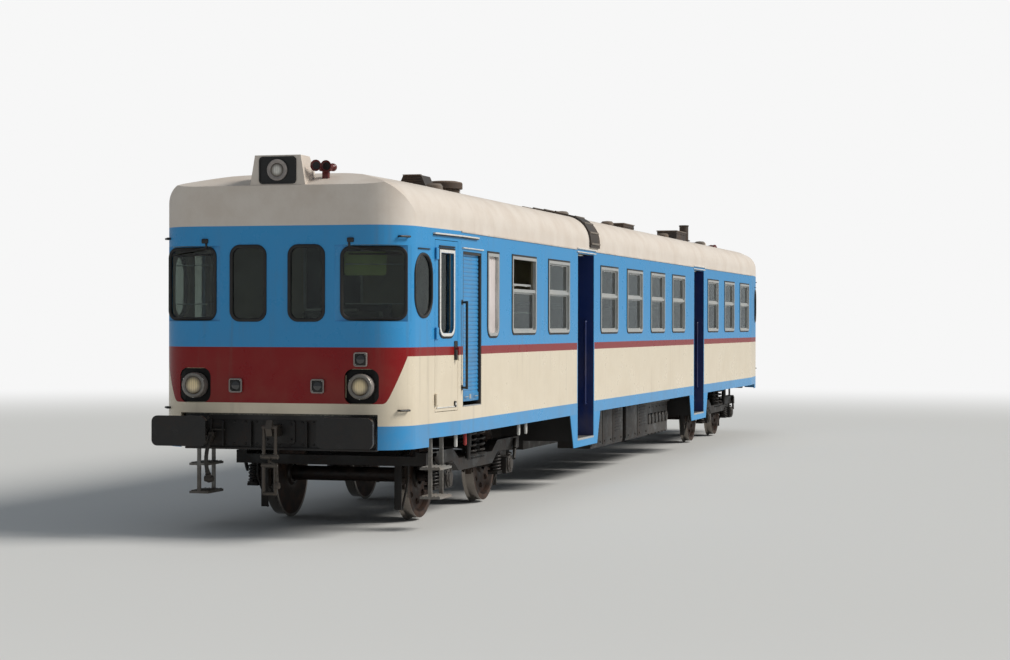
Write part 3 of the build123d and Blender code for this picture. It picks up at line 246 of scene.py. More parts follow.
# Dust: a soft cloudy mask that thickens towards a height.
dust, given, gives = new_group("Dust", (
    ("Place", "INPUT", "Vector", None),
    ("Amount", "INPUT", "Float", 0.3),
    ("Low", "INPUT", "Float", 0.5),
    ("High", "INPUT", "Float", 1.5),
    ("Mask", "OUTPUT", "Float", None),
))
height = add(dust, "ShaderNodeSeparateXYZ", {0: given["Place"]}, 2)
low_down = add(dust, "ShaderNodeMapRange", {0: height, 1: given["High"], 2: given["Low"]})
cloud = noise(dust, given["Place"], 2.2, 6.0, 0.65)
spots = ramp(dust, cloud, 0.32, 0.72)
thick = calc(dust, "MULTIPLY", calc(dust, "ADD", low_down, 0.25), spots)
dust.links.new(calc(dust, "MULTIPLY", thick, given["Amount"], clamp=True), gives["Mask"])

# Streaks: narrow upright runs left by rain.
streaks, given, gives = new_group("Streaks", (
    ("Place", "INPUT", "Vector", None),
    ("Amount", "INPUT", "Float", 0.3),
    ("Spacing", "INPUT", "Float", 9.0),
    ("Mask", "OUTPUT", "Float", None),
))
stretched = add(
    streaks, "ShaderNodeVectorMath", {0: given["Place"], 1: (1.0, 1.0, 0.07)}, operation="MULTIPLY"
)
runs = noise(streaks, stretched, given["Spacing"], 5.0, 0.6)
patches = noise(streaks, given["Place"], 0.7, 2.0)
runs = calc(streaks, "MULTIPLY", ramp(streaks, runs, 0.5, 0.75), ramp(streaks, patches, 0.35, 0.65))
streaks.links.new(calc(streaks, "MULTIPLY", runs, given["Amount"], clamp=True), gives["Mask"])

# Ripple: the slight waviness of sprayed sheet, with a fine orange peel on top.
ripple, given, gives = new_group("Ripple", (
    ("Place", "INPUT", "Vector", None),
    ("Waves", "INPUT", "Float", 1.0),
    ("Peel", "INPUT", "Float", 0.1),
    ("Height", "OUTPUT", "Float", None),
))
waves = noise(ripple, given["Place"], 3.0, 1.0)
peel = noise(ripple, given["Place"], 260.0, 2.0)
both = calc(
    ripple, "ADD", calc(ripple, "MULTIPLY", waves, given["Waves"]),
    calc(ripple, "MULTIPLY", peel, given["Peel"])
)
ripple.links.new(both, gives["Height"])


def use(tree, group, inputs, output=0):
    """Places a node group in a material."""
    node = tree.nodes.new("ShaderNodeGroup")
    node.node_tree = group
    for name, value in inputs.items():
        if isinstance(value, bpy.types.NodeSocket):
            tree.links.new(value, node.inputs[name])
        else:
            node.inputs[name].default_value = value
    return node.outputs[output]


def bump(tree, height, strength, distance):
    """A normal from a height."""
    return add(tree, "ShaderNodeBump", {"Height": height, "Strength": strength, "Distance": distance})


body_paint, tree, shader, place = finish("body_paint")
axes = tree.nodes.new("ShaderNodeSeparateXYZ")
tree.links.new(place, axes.inputs[0])
height = axes.outputs[2]
across = calc(tree, "ABSOLUTE", axes.outputs[1])
behind_nose = calc(tree, "SUBTRACT", nose_x, calc(tree, "ABSOLUTE", axes.outputs[0]))
around = calc(tree, "ADD", across, behind_nose)
slant = calc(tree, "MULTIPLY", calc(tree, "SUBTRACT", around, PANEL_HALF), PANEL_SLANT)
rising = add(
    tree, "ShaderNodeMath", {0: calc(tree, "ADD", slant, PANEL_FOOT), 1: PANEL_FOOT, 2: 0.10},
    operation="SMOOTH_MAX"
)
red_foot = calc(tree, "MINIMUM", rising, STRIPE_FOOT)
is_red = above(tree, calc(tree, "SUBTRACT", height, red_foot), 0.0)
is_blue = above(tree, height, WAIST)
is_roof = above(tree, height, ROOF_LINE)
is_skirt = below(tree, height, SKIRT_LINE)
coat = mix(tree, is_skirt, IVORY, BLUE)
coat = mix(tree, is_red, coat, RED)
coat = mix(tree, is_blue, coat, BLUE)
coat = mix(tree, is_roof, coat, ROOF_IVORY)
dusty = use(tree, dust, {"Place": place, "Amount": 0.16, "Low": 0.7, "High": 2.0})
runs = use(tree, streaks, {"Place": place, "Amount": 0.2})
runs = calc(tree, "MULTIPLY", runs, calc(tree, "SUBTRACT", 1.0, calc(tree, "MULTIPLY", is_roof, 0.7)))
coat = mix(tree, dusty, coat, rgb(150, 130, 105))
coat = mix(tree, runs, coat, rgb(105, 95, 82))
roof_dirt = calc(
    tree, "MULTIPLY", is_roof, use(tree, dust, {"Place": place, "Amount": 0.3, "Low": 4.4, "High": 2.6})
)
coat = mix(tree, roof_dirt, coat, rgb(168, 142, 118))

# Inside faces: cream laminate down to the floor, sealed black below it. The mask follows the body's plan and
# the roof's section, a little inside the sheet.
along = calc(tree, "ABSOLUTE", axes.outputs[0])
past_corner = calc(tree, "MAXIMUM", calc(tree, "SUBTRACT", along, NOSE_CORNER[0]), 0.0)
along_taper = calc(tree, "MAXIMUM", calc(tree, "SUBTRACT", along, STRAIGHT_END), 0.0)
tapered = calc(tree, "MINIMUM", along_taper, NOSE_CORNER[0] - STRAIGHT_END)
half_width = calc(tree, "SUBTRACT", WALL_Y - NOSE_CORNER[1], calc(tree, "MULTIPLY", tapered, TAPER))
past_side = calc(tree, "MAXIMUM", calc(tree, "SUBTRACT", across, half_width), 0.0)
from_corner = radius_of(tree, past_corner, past_side)
in_plan = calc(tree, "MULTIPLY", below(tree, from_corner, INNER_CORNER), below(tree, along, INNER_NOSE))
from_centre = radius_of(tree, across, calc(tree, "SUBTRACT", height, ROOF_CENTRE_Z))
under_crown = below(tree, from_centre, INNER_CROWN)
past_haunch = calc(tree, "MAXIMUM", calc(tree, "SUBTRACT", across, HAUNCH[0]), 0.0)
from_haunch = radius_of(tree, past_haunch, calc(tree, "SUBTRACT", height, HAUNCH[1]))
in_haunch = calc(tree, "MAXIMUM", below(tree, from_haunch, INNER_HAUNCH), below(tree, across, HAUNCH[0]))
in_roof = calc(
    tree, "MULTIPLY", calc(tree, "MULTIPLY", under_crown, in_haunch), below(tree, along, STRAIGHT_END)
)
inside = calc(tree, "MULTIPLY", in_plan, calc(tree, "MAXIMUM", in_roof, below(tree, height, HAUNCH[1])))
lined = mix(tree, ramp(tree, height, *LINED_FROM), UNDERSEAL, LINING)
coat = mix(tree, inside, coat, lined)

# Painted shade: the faces near a lamp that lie behind the skin, inside the headlamp pockets, are painted near
# black.
from_lamp_y = calc(tree, "ABSOLUTE", calc(tree, "SUBTRACT", across, LAMP_POCKET[0]))
from_lamp_z = calc(tree, "ABSOLUTE", calc(tree, "SUBTRACT", height, LAMP_POCKET[1]))
near_lamp = ramp(
    tree, calc(tree, "MAXIMUM", from_lamp_y, from_lamp_z), LAMP_POCKET[2] + 0.001, LAMP_POCKET[2] - 0.001
)
sunk = calc(tree, "MULTIPLY", ramp(tree, from_corner, *POCKET_SKIN), ramp(tree, along, *POCKET_BACK))
coat = mix(tree, calc(tree, "MULTIPLY", near_lamp, sunk), coat, rgb(8, 7, 7))
feed(shader, "Base Color", coat)
rough = calc(tree, "ADD", calc(tree, "MULTIPLY", is_roof, 0.35), 0.27)
rough = calc(tree, "ADD", rough, calc(tree, "MULTIPLY", dusty, 0.5))
rough = calc(tree, "ADD", rough, calc(tree, "MULTIPLY", inside, 0.3), clamp=True)
feed(shader, "Roughness", rough)
shader.inputs["Specular IOR Level"].default_value = 0.32
feed(
    shader, "Normal",
    bump(tree, use(tree, ripple, {"Place": place, "Waves": 0.6, "Peel": 0.02}), 0.2, 0.012)
)


def wear(names, material):
    """Gives CAD nodes a material."""
    for name in names:
        nodes[name].data.materials.clear()
        nodes[name].data.materials.append(material)


wear(
    (
        "side_walls", "cab_shells", "crew_door_left", "crew_door_right", "roof", "roof_domes",
        "roof_headlights"
    ),
    body_paint
)

# Saloon windows
# Drawn aluminium frames clamped on rubber: the upper sash slides down in channels and is pulled by two
# finger catches. A black rubber bead shows all round each frame.

WINDOW_MIDDLES = (7.2, 5.54, 2.72, 1.052, -0.616, -2.284, -5.456, -7.166, -8.876)
WINDOW_WIDTH = 1.06
WINDOW_LOW = RAIL + 2.005
WINDOW_HIGH = RAIL + 2.892
WINDOW_CORNER = 0.07
WINDOW_BAR = RAIL + 2.498
NARROW_MIDDLE = 8.52
NARROW_WIDTH = 0.442
NARROW_LOW = RAIL + 1.976
NARROW_CORNER = 0.11
BEAD = 0.022
FLIP = Matrix.Diagonal((1, -1, 1, 1))
BACK = Matrix.Diagonal((-1, 1, 1, 1))
TURN = Matrix.Diagonal((-1, -1, 1, 1))
HERE = Matrix.Identity(4)
SIDES = (HERE, FLIP)
ENDS = (HERE, TURN)
MIRRORED_ENDS = (HERE, BACK)
CORNERS = (HERE, FLIP, BACK, TURN)


def at(x, y, z):
    """A place moved to a point and not turned."""
    return Matrix.Translation((x, y, z))


def facing(x, y, z, out=(0, 1, 0)):
    """A place whose own z points out and whose own y points up."""
    away = Vector(out).normalized()
    right = Vector((0, 0, 1)).cross(away).normalized()
    up = away.cross(right)
    return at(x, y, z) @ Matrix((right, up, away)).transposed().to_4x4()


def stamp(mesh, part, places):
    """Copies a finished part into a mesh at each place, the right way out, and clears the part."""
    data = bpy.data.meshes.new("part")
    part.to_mesh(data)
    part.free()
    for place in places:
        copy = data.copy()
        copy.transform(place)
        if place.determinant() < 0:
            copy.flip_normals()
        mesh.from_mesh(copy)
        bpy.data.meshes.remove(copy)
    bpy.data.meshes.remove(data)


def block(mesh, low, high, edge=0.003, places=(HERE,), segments=2):
    """A block with its edges rounded."""
    part = bmesh.new()
    bmesh.ops.create_cube(part, size=1.0)
    span = Vector(high) - Vector(low)
    bmesh.ops.scale(part, vec=span, verts=part.verts)
    bmesh.ops.translate(part, vec=(Vector(high) + Vector(low)) / 2, verts=part.verts)
    edge = min(edge, 0.45 * min(span))
    bmesh.ops.bevel(
        part, geom=part.edges, offset=edge, segments=segments, profile=0.5, affect="EDGES", material=-1
    )
    stamp(mesh, part, places)


def sheet_shape(width, height, corner, feet_only=False):
    """A flat upright rectangle with round corners, or only its lower corners round."""
    part = bmesh.new()
    bmesh.ops.create_grid(part, x_segments=1, y_segments=1, size=0.5)
    bmesh.ops.scale(part, vec=(width, height, 1), verts=part.verts)
    corners = [vert for vert in part.verts if vert.co.y < 0 or not feet_only]
    if corner > 0:
        bmesh.ops.bevel(
            part, geom=corners, offset=corner, segments=6, profile=0.5, affect="VERTICES", material=-1
        )
    return part


def ring(mesh, width, height, corner, band, depth, places, feet_only=False, edge=0.0):
    """A flat ring along the inside of such an outline, stood out by depth."""
    part = sheet_shape(width, height, corner, feet_only)
    face = part.faces[:]
    bmesh.ops.inset_region(part, faces=face, thickness=band, use_boundary=True, use_even_offset=True)
    bmesh.ops.delete(part, geom=face, context="FACES_ONLY")
    raised(part, depth, edge)
    stamp(mesh, part, places)


def raised(part, depth, edge=0.0):
    """Gives a flat shape its thickness towards its own z, with the front edges rounded."""
    made = bmesh.ops.extrude_face_region(part, geom=part.faces[:])["geom"]
    top = [item for item in made if isinstance(item, bmesh.types.BMVert)]
    bmesh.ops.translate(part, vec=(0, 0, depth), verts=top)
    bmesh.ops.recalc_face_normals(part, faces=part.faces)
    if edge > 0:
        rim = {item for vert in top for item in vert.link_edges if abs(item.calc_face_angle(0)) > 0.6}
        flat = [item for item in rim if all(abs(vert.co.z - depth) < 1e-5 for vert in item.verts)]
        bmesh.ops.bevel(part, geom=flat, offset=edge, segments=2, profile=0.5, affect="EDGES", material=-1)


def slab(mesh, width, height, depth, places, corner=0.0, edge=0.0015):
    """A flat plate with round corners, stood out from its place."""
    part = sheet_shape(width, height, corner)
    raised(part, depth, edge)
    stamp(mesh, part, places)


def piece(name, mesh, material, body="body", smooth=40, replaces=()):
    """Makes an object of a mesh, with its material, its body and what it stands for."""
    data = bpy.data.meshes.new(name)
    mesh.to_mesh(data)
    mesh.free()
    return dress(bpy.data.objects.new(name, data), material, body, smooth, replaces)


def dress(made, material, body="body", smooth=40, replaces=()):
    """Links an object, smooths it up to an angle and hands it to the frame."""
    bpy.context.scene.collection.objects.link(made)
    made.data.materials.append(material)
    if made.type == "MESH":
        made.data.shade_smooth()
        made.data.set_sharp_from_angle(angle=math.radians(smooth))
    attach(made, body)
    if replaces:
        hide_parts(*replaces)
    return made


def drawn_metal(name, colour, roughness, grain=(1.0, 1.0, 40.0), dirt=0.35, metallic=1.0):
    """A metal with fine drawing lines along one direction, dulled by dirt in patches."""
    material, tree, shader, place = finish(name)
    drawn = add(tree, "ShaderNodeVectorMath", {0: place, 1: grain}, operation="MULTIPLY")
    lines = noise(tree, drawn, 30.0, 4.0)
    dirty = use(tree, dust, {"Place": place, "Amount": dirt, "Low": 0.5, "High": 4.5})
    shade = mix(tree, ramp(tree, lines, 0.3, 0.7), colour, [c * 0.82 for c in colour[:3]] + [1.0])
    feed(shader, "Base Color", mix(tree, dirty, shade, rgb(112, 98, 82)))
    rough = calc(tree, "ADD", calc(tree, "MULTIPLY", lines, 0.18), roughness - 0.08)
    feed(shader, "Roughness", calc(tree, "ADD", rough, calc(tree, "MULTIPLY", dirty, 0.6), clamp=True))
    feed(shader, "Metallic", calc(tree, "MULTIPLY", calc(tree, "SUBTRACT", 1.0, dirty), metallic))
    feed(shader, "Normal", bump(tree, lines, 0.12, 0.002))
    return material


def rubber_like(name, colour, roughness=0.55):
    """Moulded rubber, greyed by weather and a little uneven."""
    material, tree, shader, place = finish(name)
    aged = noise(tree, place, 14.0, 6.0, 0.7)
    dirty = use(tree, dust, {"Place": place, "Amount": 0.2, "Low": 0.2, "High": 4.0})
    shade = mix(tree, ramp(tree, aged, 0.4, 0.75), colour, [c * 1.8 + 0.003 for c in colour[:3]] + [1.0])
    feed(shader, "Base Color", mix(tree, dirty, shade, rgb(104, 94, 82)))
    feed(shader, "Roughness", calc(tree, "ADD", calc(tree, "MULTIPLY", aged, 0.25), roughness - 0.1))
    pores = noise(tree, place, 420.0, 2.0)
    feed(
        shader, "Normal",
        bump(tree, calc(tree, "ADD", aged, calc(tree, "MULTIPLY", pores, 0.15)), 0.3, 0.003)
    )
    return material


def sprayed(name, colour, roughness, dirt=0.5, low=0.7, high=3.0, runs_amount=0.35, grime=(112, 96, 78)):
    """Sprayed paint with dust that thickens downwards, rain streaks and a fine orange peel."""
    material, tree, shader, place = finish(name)
    fade = noise(tree, place, 1.3, 5.0)
    coat = mix(tree, ramp(tree, fade, 0.3, 0.75), colour, [c * 0.84 + 0.008 for c in colour[:3]] + [1.0])
    dirty = use(tree, dust, {"Place": place, "Amount": dirt, "Low": low, "High": high})
    streaky = use(tree, streaks, {"Place": place, "Amount": runs_amount})
    coat = mix(tree, dirty, coat, rgb(*grime))
    coat = mix(tree, streaky, coat, [c * 0.55 for c in rgb(*grime)[:3]] + [1.0])
    feed(shader, "Base Color", coat)
    rough = calc(tree, "ADD", calc(tree, "MULTIPLY", fade, 0.12), roughness - 0.06)
    rough = calc(tree, "ADD", rough, calc(tree, "MULTIPLY", dirty, 0.5), clamp=True)
    feed(shader, "Roughness", rough)
    uneven = use(tree, ripple, {"Place": place, "Waves": 0.6, "Peel": 0.03})
    feed(shader, "Normal", bump(tree, uneven, 0.3, 0.01))
    return material


frame_aluminium = drawn_metal("frame_aluminium", rgb(214, 216, 214), 0.38, metallic=0.75)
bead_rubber = rubber_like("bead_rubber", rgb(15, 15, 16))
wear(("window_frames", "open_window_frame"), frame_aluminium)

beads = bmesh.new()
sashes = bmesh.new()
window_places = [(x, side) for x in WINDOW_MIDDLES for side in SIDES]
for x, side in window_places:
    middle = facing(x, WALL_Y, (WINDOW_LOW + WINDOW_HIGH) / 2)
    high = WINDOW_HIGH - WINDOW_LOW
    ring(
        beads, WINDOW_WIDTH + 2 * BEAD, high + 2 * BEAD, WINDOW_CORNER + BEAD, BEAD, 0.006, [side @ middle],
        True, 0.002
    )
    low_middle = (WINDOW_LOW + WINDOW_BAR) / 2 + 0.008
    ring(
        sashes, 0.998, WINDOW_BAR - WINDOW_LOW - 0.05, 0.04, 0.02, 0.005,
        [side @ facing(x, WALL_Y - 0.029, low_middle)], True, 0.0015
    )
    lowered = x == WINDOW_MIDDLES[0] and side is HERE
    sash_middle = (WINDOW_BAR + WINDOW_HIGH) / 2 - (0.29 if lowered else 0.008)
    sash_back = 0.056 if lowered else 0.029
    ring(
        sashes, 0.998, 0.35, 0.03, 0.024, 0.008, [side @ facing(x, WALL_Y - sash_back, sash_middle)], False,
        0.002
    )
    for catch in (-0.24, 0.24):
        catch_z = sash_middle + 0.145
        block(
            sashes, (x + catch - 0.045, WALL_Y - sash_back - 0.004, catch_z),
            (x + catch + 0.045, WALL_Y - sash_back + 0.014, catch_z + 0.014), 0.004, [side]
        )
for side in SIDES:
    middle = facing(NARROW_MIDDLE, WALL_Y, (NARROW_LOW + WINDOW_HIGH) / 2)
    high = WINDOW_HIGH - NARROW_LOW
    ring(
        beads, NARROW_WIDTH + 2 * BEAD, high + 2 * BEAD, NARROW_CORNER + BEAD, BEAD, 0.006, [side @ middle],
        True, 0.002
    )
piece("window_beads", beads, bead_rubber)
piece("window_sashes", sashes, frame_aluminium)

# Windscreens
# Flat toughened glass set in black rubber rings with round corners; the outer screens sit in a painted flat
# let into the nose. Each of those has an electric wiper parked along its head, and heating rails behind the
# glass. A short lifting bar is screwed on at two heights of each corner.

SCREEN_SLOPE = math.atan2(0.272, 0.735)
SCREEN_MIDDLE = Vector((11.2, 0.9825, RAIL + 2.51))
SCREEN_OUT = Vector((math.cos(SCREEN_SLOPE), math.sin(SCREEN_SLOPE), 0))
SCREEN_ACROSS = Vector((-SCREEN_OUT.y, SCREEN_OUT.x, 0))
SCREEN_FLAT = (0.724, 0.760)
CENTRE_SCREEN = (0.312, RAIL + 2.5125, 0.400, 0.775, 0.110)
PILL = (10.754, RAIL + 2.4955, 0.464, 0.665, 0.217)
CORNER_Y = 0.8885
black_enamel = rubber_like("black_enamel", rgb(15, 15, 16), 0.4)


def pierced(width, height, hole_width, hole_height, hole_corner, aside=0.0):
    """A flat rectangle with a round-cornered hole, a little to one side of its middle."""
    part = sheet_shape(width, height, 0.0)
    bmesh.ops.delete(part, geom=part.faces[:], context="FACES_ONLY")
    hole = sheet_shape(hole_width, hole_height, hole_corner)
    bmesh.ops.translate(hole, vec=(aside, 0, 0), verts=hole.verts)
    data = bpy.data.meshes.new("hole")
    hole.to_mesh(data)
    hole.free()
    part.from_mesh(data)
    bpy.data.meshes.remove(data)
    bmesh.ops.delete(part, geom=part.faces[:], context="FACES_ONLY")
    bmesh.ops.triangle_fill(part, edges=part.edges[:], use_beauty=True)
    return part


flats = bmesh.new()
rubbers = bmesh.new()
screens = bmesh.new()
outer_place = facing(*SCREEN_MIDDLE, out=SCREEN_OUT)
part = pierced(*SCREEN_FLAT, 0.620, 0.690, 0.080, 0.025)
raised(part, 0.034)
for vert in part.verts:
    if vert.co.x > SCREEN_FLAT[0] / 2 - 0.001 and vert.co.z < 0.001:
        vert.co.x += 0.032
stamp(flats, part, [place @ outer_place @ at(-0.030, 0, -0.034) for place in CORNERS])
ring(
    rubbers, 0.674, 0.744, 0.105, 0.034, 0.020,
    [place @ outer_place @ at(-0.005, 0, -0.008) for place in CORNERS], False, 0.007
)
part = sheet_shape(0.630, 0.700, 0.085)
raised(part, 0.006)
stamp(screens, part, [place @ outer_place @ at(-0.005, 0, -0.012) for place in CORNERS])
y, z, width, height, corner = CENTRE_SCREEN
centre_place = facing(nose_x, y, z, (1, 0, 0))
ring(
    rubbers, width, height, corner, 0.035, 0.042,
    [place @ centre_place @ at(0, 0, -0.030) for place in CORNERS], False, 0.010
)
part = sheet_shape(width - 0.062, height - 0.062, corner - 0.031)
raised(part, 0.006)
stamp(screens, part, [place @ centre_place @ at(0, 0, -0.016) for place in CORNERS])
x, z, width, height, corner = PILL
pill_place = facing(x, WALL_Y - TAPER * (x - STRAIGHT_END), z, (TAPER, 1, 0))
ring(
    rubbers, width, height, corner, 0.030, 0.042,
    [place @ pill_place @ at(0, 0, -0.030) for place in CORNERS], False, 0.010
)
part = sheet_shape(width - 0.052, height - 0.052, corner - 0.026)
raised(part, 0.006)
stamp(screens, part, [place @ pill_place @ at(0, 0, -0.016) for place in CORNERS])
piece("screen_flats", flats, sprayed("flat_blue", BLUE, 0.27, 0.16, 0.7, 2.0, 0.2))
piece("screen_rubbers", rubbers, bead_rubber, smooth=60, replaces=("windscreen_seals",))
screen_glass = piece("screen_panes", screens, bead_rubber, replaces=("windscreens",))


def pipes(name, runs, radius, material, body="body", sides=3):
    """Round bars or pipes along smooth runs of points, closed at their ends."""
    line = bpy.data.curves.new(name, "CURVE")
    line.dimensions = "3D"
    line.bevel_depth = radius
    line.bevel_resolution = sides
    line.use_fill_caps = True
    for run in runs:
        spline = line.splines.new("NURBS")
        spline.points.add(len(run) - 1)
        for point, place in zip(spline.points, run):
            point.co = (*place, 1.0)
        spline.order_u = 3
        spline.use_endpoint_u = True
        spline.resolution_u = 3
    holder = bpy.data.objects.new(name, line)
    data = bpy.data.meshes.new_from_object(holder)
    bpy.data.objects.remove(holder)
    data.name = name
    return dress(bpy.data.objects.new(name, data), material, body, 60)


def bent(corners, turn=0.04):
    """The points of a bar with straight runs and a small round bend at each corner."""
    corners = [Vector(corner) for corner in corners]
    points = [corners[0]]
    for before, corner, after in zip(corners, corners[1:], corners[2:]):
        for other in (before, after):
            reach = min(turn, (other - corner).length * 0.45)
            near = corner + (other - corner).normalized() * reach
            points += [near, corner] if other is before else [near]
    return points + [corners[-1]]


def placed(points, place):
    """Points carried to another place."""
    return [place @ Vector(point) for point in points]


wipers = bmesh.new()
wiper_bars = []
heating_bars = []
bracket_bars = []
for place in CORNERS:
    block(wipers, (11.285, 0.745, RAIL + 2.915), (11.358, 0.815, RAIL + 2.962), 0.010, [place], 3)
    block(wipers, (11.325, 0.755, RAIL + 2.87), (11.350, 0.778, RAIL + 2.92), 0.006, [place], 2)
    arm_start = Vector((11.346, 0.767, RAIL + 2.875))
    arm_end = SCREEN_MIDDLE + SCREEN_ACROSS * 0.24 + SCREEN_OUT * 0.03 + Vector((0, 0, 0.305))
    knee = SCREEN_MIDDLE - SCREEN_ACROSS * 0.20 + SCREEN_OUT * 0.05 + Vector((0, 0, 0.35))
    wiper_bars.append(placed([arm_start, knee, arm_end], place))
    blade = SCREEN_MIDDLE + SCREEN_OUT * 0.016 + Vector((0, 0, 0.29))
    sweep = [blade + SCREEN_ACROSS * share for share in (-0.26, 0.02, 0.27)]
    wiper_bars.append(placed(sweep, place))
    for share in (0.16, 0.82):
        height = Vector((0, 0, -0.30 + 0.60 * share))
        bar = SCREEN_MIDDLE - SCREEN_OUT * 0.075 + height
        heating_bars.append(placed([bar - SCREEN_ACROSS * 0.29, bar + SCREEN_ACROSS * 0.29], place))
    for height in (1.245, 2.975):
        z = RAIL + height
        ends = []
        for angle in (0.86, 1.12):
            edge = Vector((NOSE_CORNER[0] + 0.449 * math.cos(angle), CORNER_Y + 0.449 * math.sin(angle), z))
            away = Vector((math.cos(angle), math.sin(angle), 0))
            ends.append((edge, away))
        (first, first_out), (second, second_out) = ends
        bracket_bars.append(
            placed(
                bent((first, first + first_out * 0.035, second + second_out * 0.035, second), 0.015), place
            )
        )
piece("wiper_motors", wipers, black_enamel)
pipes("wiper_arms", wiper_bars, 0.007, black_enamel, sides=2)
pipes("screen_heating_rails", heating_bars, 0.005, frame_aluminium, sides=2)
pipes("corner_brackets", bracket_bars, 0.011, black_enamel, sides=2)

# End lamps
# Headlamps are sealed units sunk in round pockets, each with a chromed rim and a ribbed clear lens; the
# bright bowl behind is not built but painted onto the lens as a painted reflection. The square markers have a
# pressed grey case, a round dark lens and two screws.

LAMP_Y = 0.892
LAMP_Z = RAIL + 1.484
LAMP_FACE = 11.36
MARKER_Y = 0.439
MARKER_FACE = 11.356
UPPER_MARKER_Z = RAIL + 1.753


def lens_glass(name, colour, roughness=0.06, ribs=0.0, lamp=None, rim=0.11):
    """Lamp glass whose colour is a painted reflection of the bright bowl behind it, seen as one glossy body
    with faint moulded ribs. With a lamp's y and z, the painted reflection is brightest in the middle and goes
    to painted shade towards the rim."""
    material, tree, shader, place = finish(name)
    # Painted reflection: a bright middle going dark at the rim, as the bowl's light shows through the lens.
    if lamp:
        folded = add(tree, "ShaderNodeVectorMath", {0: place}, operation="ABSOLUTE")
        centred = add(tree, "ShaderNodeVectorMath", {0: folded, 1: (0, *lamp)}, operation="SUBTRACT")
        flat = add(tree, "ShaderNodeVectorMath", {0: centred, 1: (0, 1, 1)}, operation="MULTIPLY")
        far = add(tree, "ShaderNodeVectorMath", {0: flat}, "Value", operation="LENGTH")
        colour = mix(tree, ramp(tree, far, rim * 0.25, rim * 0.85), colour, rgb(74, 62, 48))
    facets = add(
        tree, "ShaderNodeTexWave", {"Vector": place, "Scale": 14.0, "Distortion": 0.4, "Detail": 1.0},
        "Fac", bands_direction="Y"
    )
    stains = noise(tree, place, 9.0, 5.0)
    shade = mix(tree, calc(tree, "MULTIPLY", ramp(tree, facets, 0.2, 0.8), 0.18), colour, rgb(40, 36, 32))
    feed(shader, "Base Color", mix(tree, ramp(tree, stains, 0.55, 0.9), shade, rgb(120, 108, 90)))
    feed(shader, "Roughness", calc(tree, "ADD", calc(tree, "MULTIPLY", stains, 0.12), roughness))
    feed(shader, "Normal", bump(tree, facets, ribs, 0.004))
    shader.inputs["Coat Weight"].default_value = 1.0
    shader.inputs["Coat Roughness"].default_value = 0.03
    return material


def dish(mesh, radius, rise, places, rings=5, around=40):
    """A shallow dome with its pole along its own z."""
    part = bmesh.new()
    start = part.verts.new((radius, 0, 0))
    last = start
    for index in range(1, rings + 1):
        angle = index / rings * math.pi / 2
        point = part.verts.new((radius * math.cos(angle), 0, rise * math.sin(angle)))
        part.edges.new((last, point))
        last = point
    bmesh.ops.spin(
        part, geom=part.verts[:] + part.edges[:], cent=(0, 0, 0), axis=(0, 0, 1), angle=math.tau,
        steps=around, use_merge=True
    )
    bmesh.ops.remove_doubles(part, verts=part.verts, dist=1e-5)
    bmesh.ops.recalc_face_normals(part, faces=part.faces)
    up = sum(face.normal.z for face in part.faces)
    if up < 0:
        bmesh.ops.reverse_faces(part, faces=part.faces)
    stamp(mesh, part, places)


def turned(mesh, outline, places, around=40):
    """A closed outline of (radius, height) points turned about its own z."""
    part = bmesh.new()
    points = [part.verts.new((radius, 0, height)) for radius, height in outline]
    for first, second in zip(points, points[1:] + points[:1]):
        part.edges.new((first, second))
    bmesh.ops.spin(
        part, geom=part.verts[:] + part.edges[:], cent=(0, 0, 0), axis=(0, 0, 1), angle=math.tau,
        steps=around, use_merge=True
    )
    bmesh.ops.remove_doubles(part, verts=part.verts, dist=1e-5)
    bmesh.ops.recalc_face_normals(part, faces=part.faces)
    stamp(mesh, part, places)


def screws(mesh, radius, rise, places):
    """Six-sided screw heads, a little narrower at the top, one at each place."""
    turned(mesh, [(0.0, 0.0), (radius, 0.0), (radius * 0.9, rise), (0.0, rise)], places, 6)


lamp_grey = drawn_metal("lamp_grey", rgb(158, 150, 146), 0.46, (1, 1, 1), metallic=0.2)
rim_chrome = drawn_metal("rim_chrome", rgb(206, 204, 202), 0.22, (1, 1, 1), 0.25)
rim_grey = drawn_metal("rim_grey", rgb(150, 146, 140), 0.34, (1, 1, 1), 0.3, 0.6)
# The lens colours are painted reflections of the lamp bowls, warm for the headlamps and pale for the roof
# headlight.
clear_lens = lens_glass("clear_lens", rgb(250, 226, 176), ribs=0.25, lamp=(LAMP_Y, LAMP_Z))
high_lens = lens_glass("high_lens", rgb(214, 210, 202), ribs=0.25, lamp=(0.0, RAIL + 3.645), rim=0.08)
dark_lens = lens_glass("dark_lens", rgb(24, 22, 24), ribs=0.1)
wear(("end_lamps",), lamp_grey)
rims = bmesh.new()
lenses = bmesh.new()
cases = bmesh.new()
dark_lenses = bmesh.new()
screw_heads = bmesh.new()
headlamps = [facing(LAMP_FACE, y, LAMP_Z, (1, 0, 0)) for y in (LAMP_Y, -LAMP_Y)]
markers = [facing(MARKER_FACE, y, LAMP_Z, (1, 0, 0)) for y in (MARKER_Y, -MARKER_Y)]
markers.append(facing(MARKER_FACE, LAMP_Y, UPPER_MARKER_Z, (1, 0, 0)))
wells = bmesh.new()
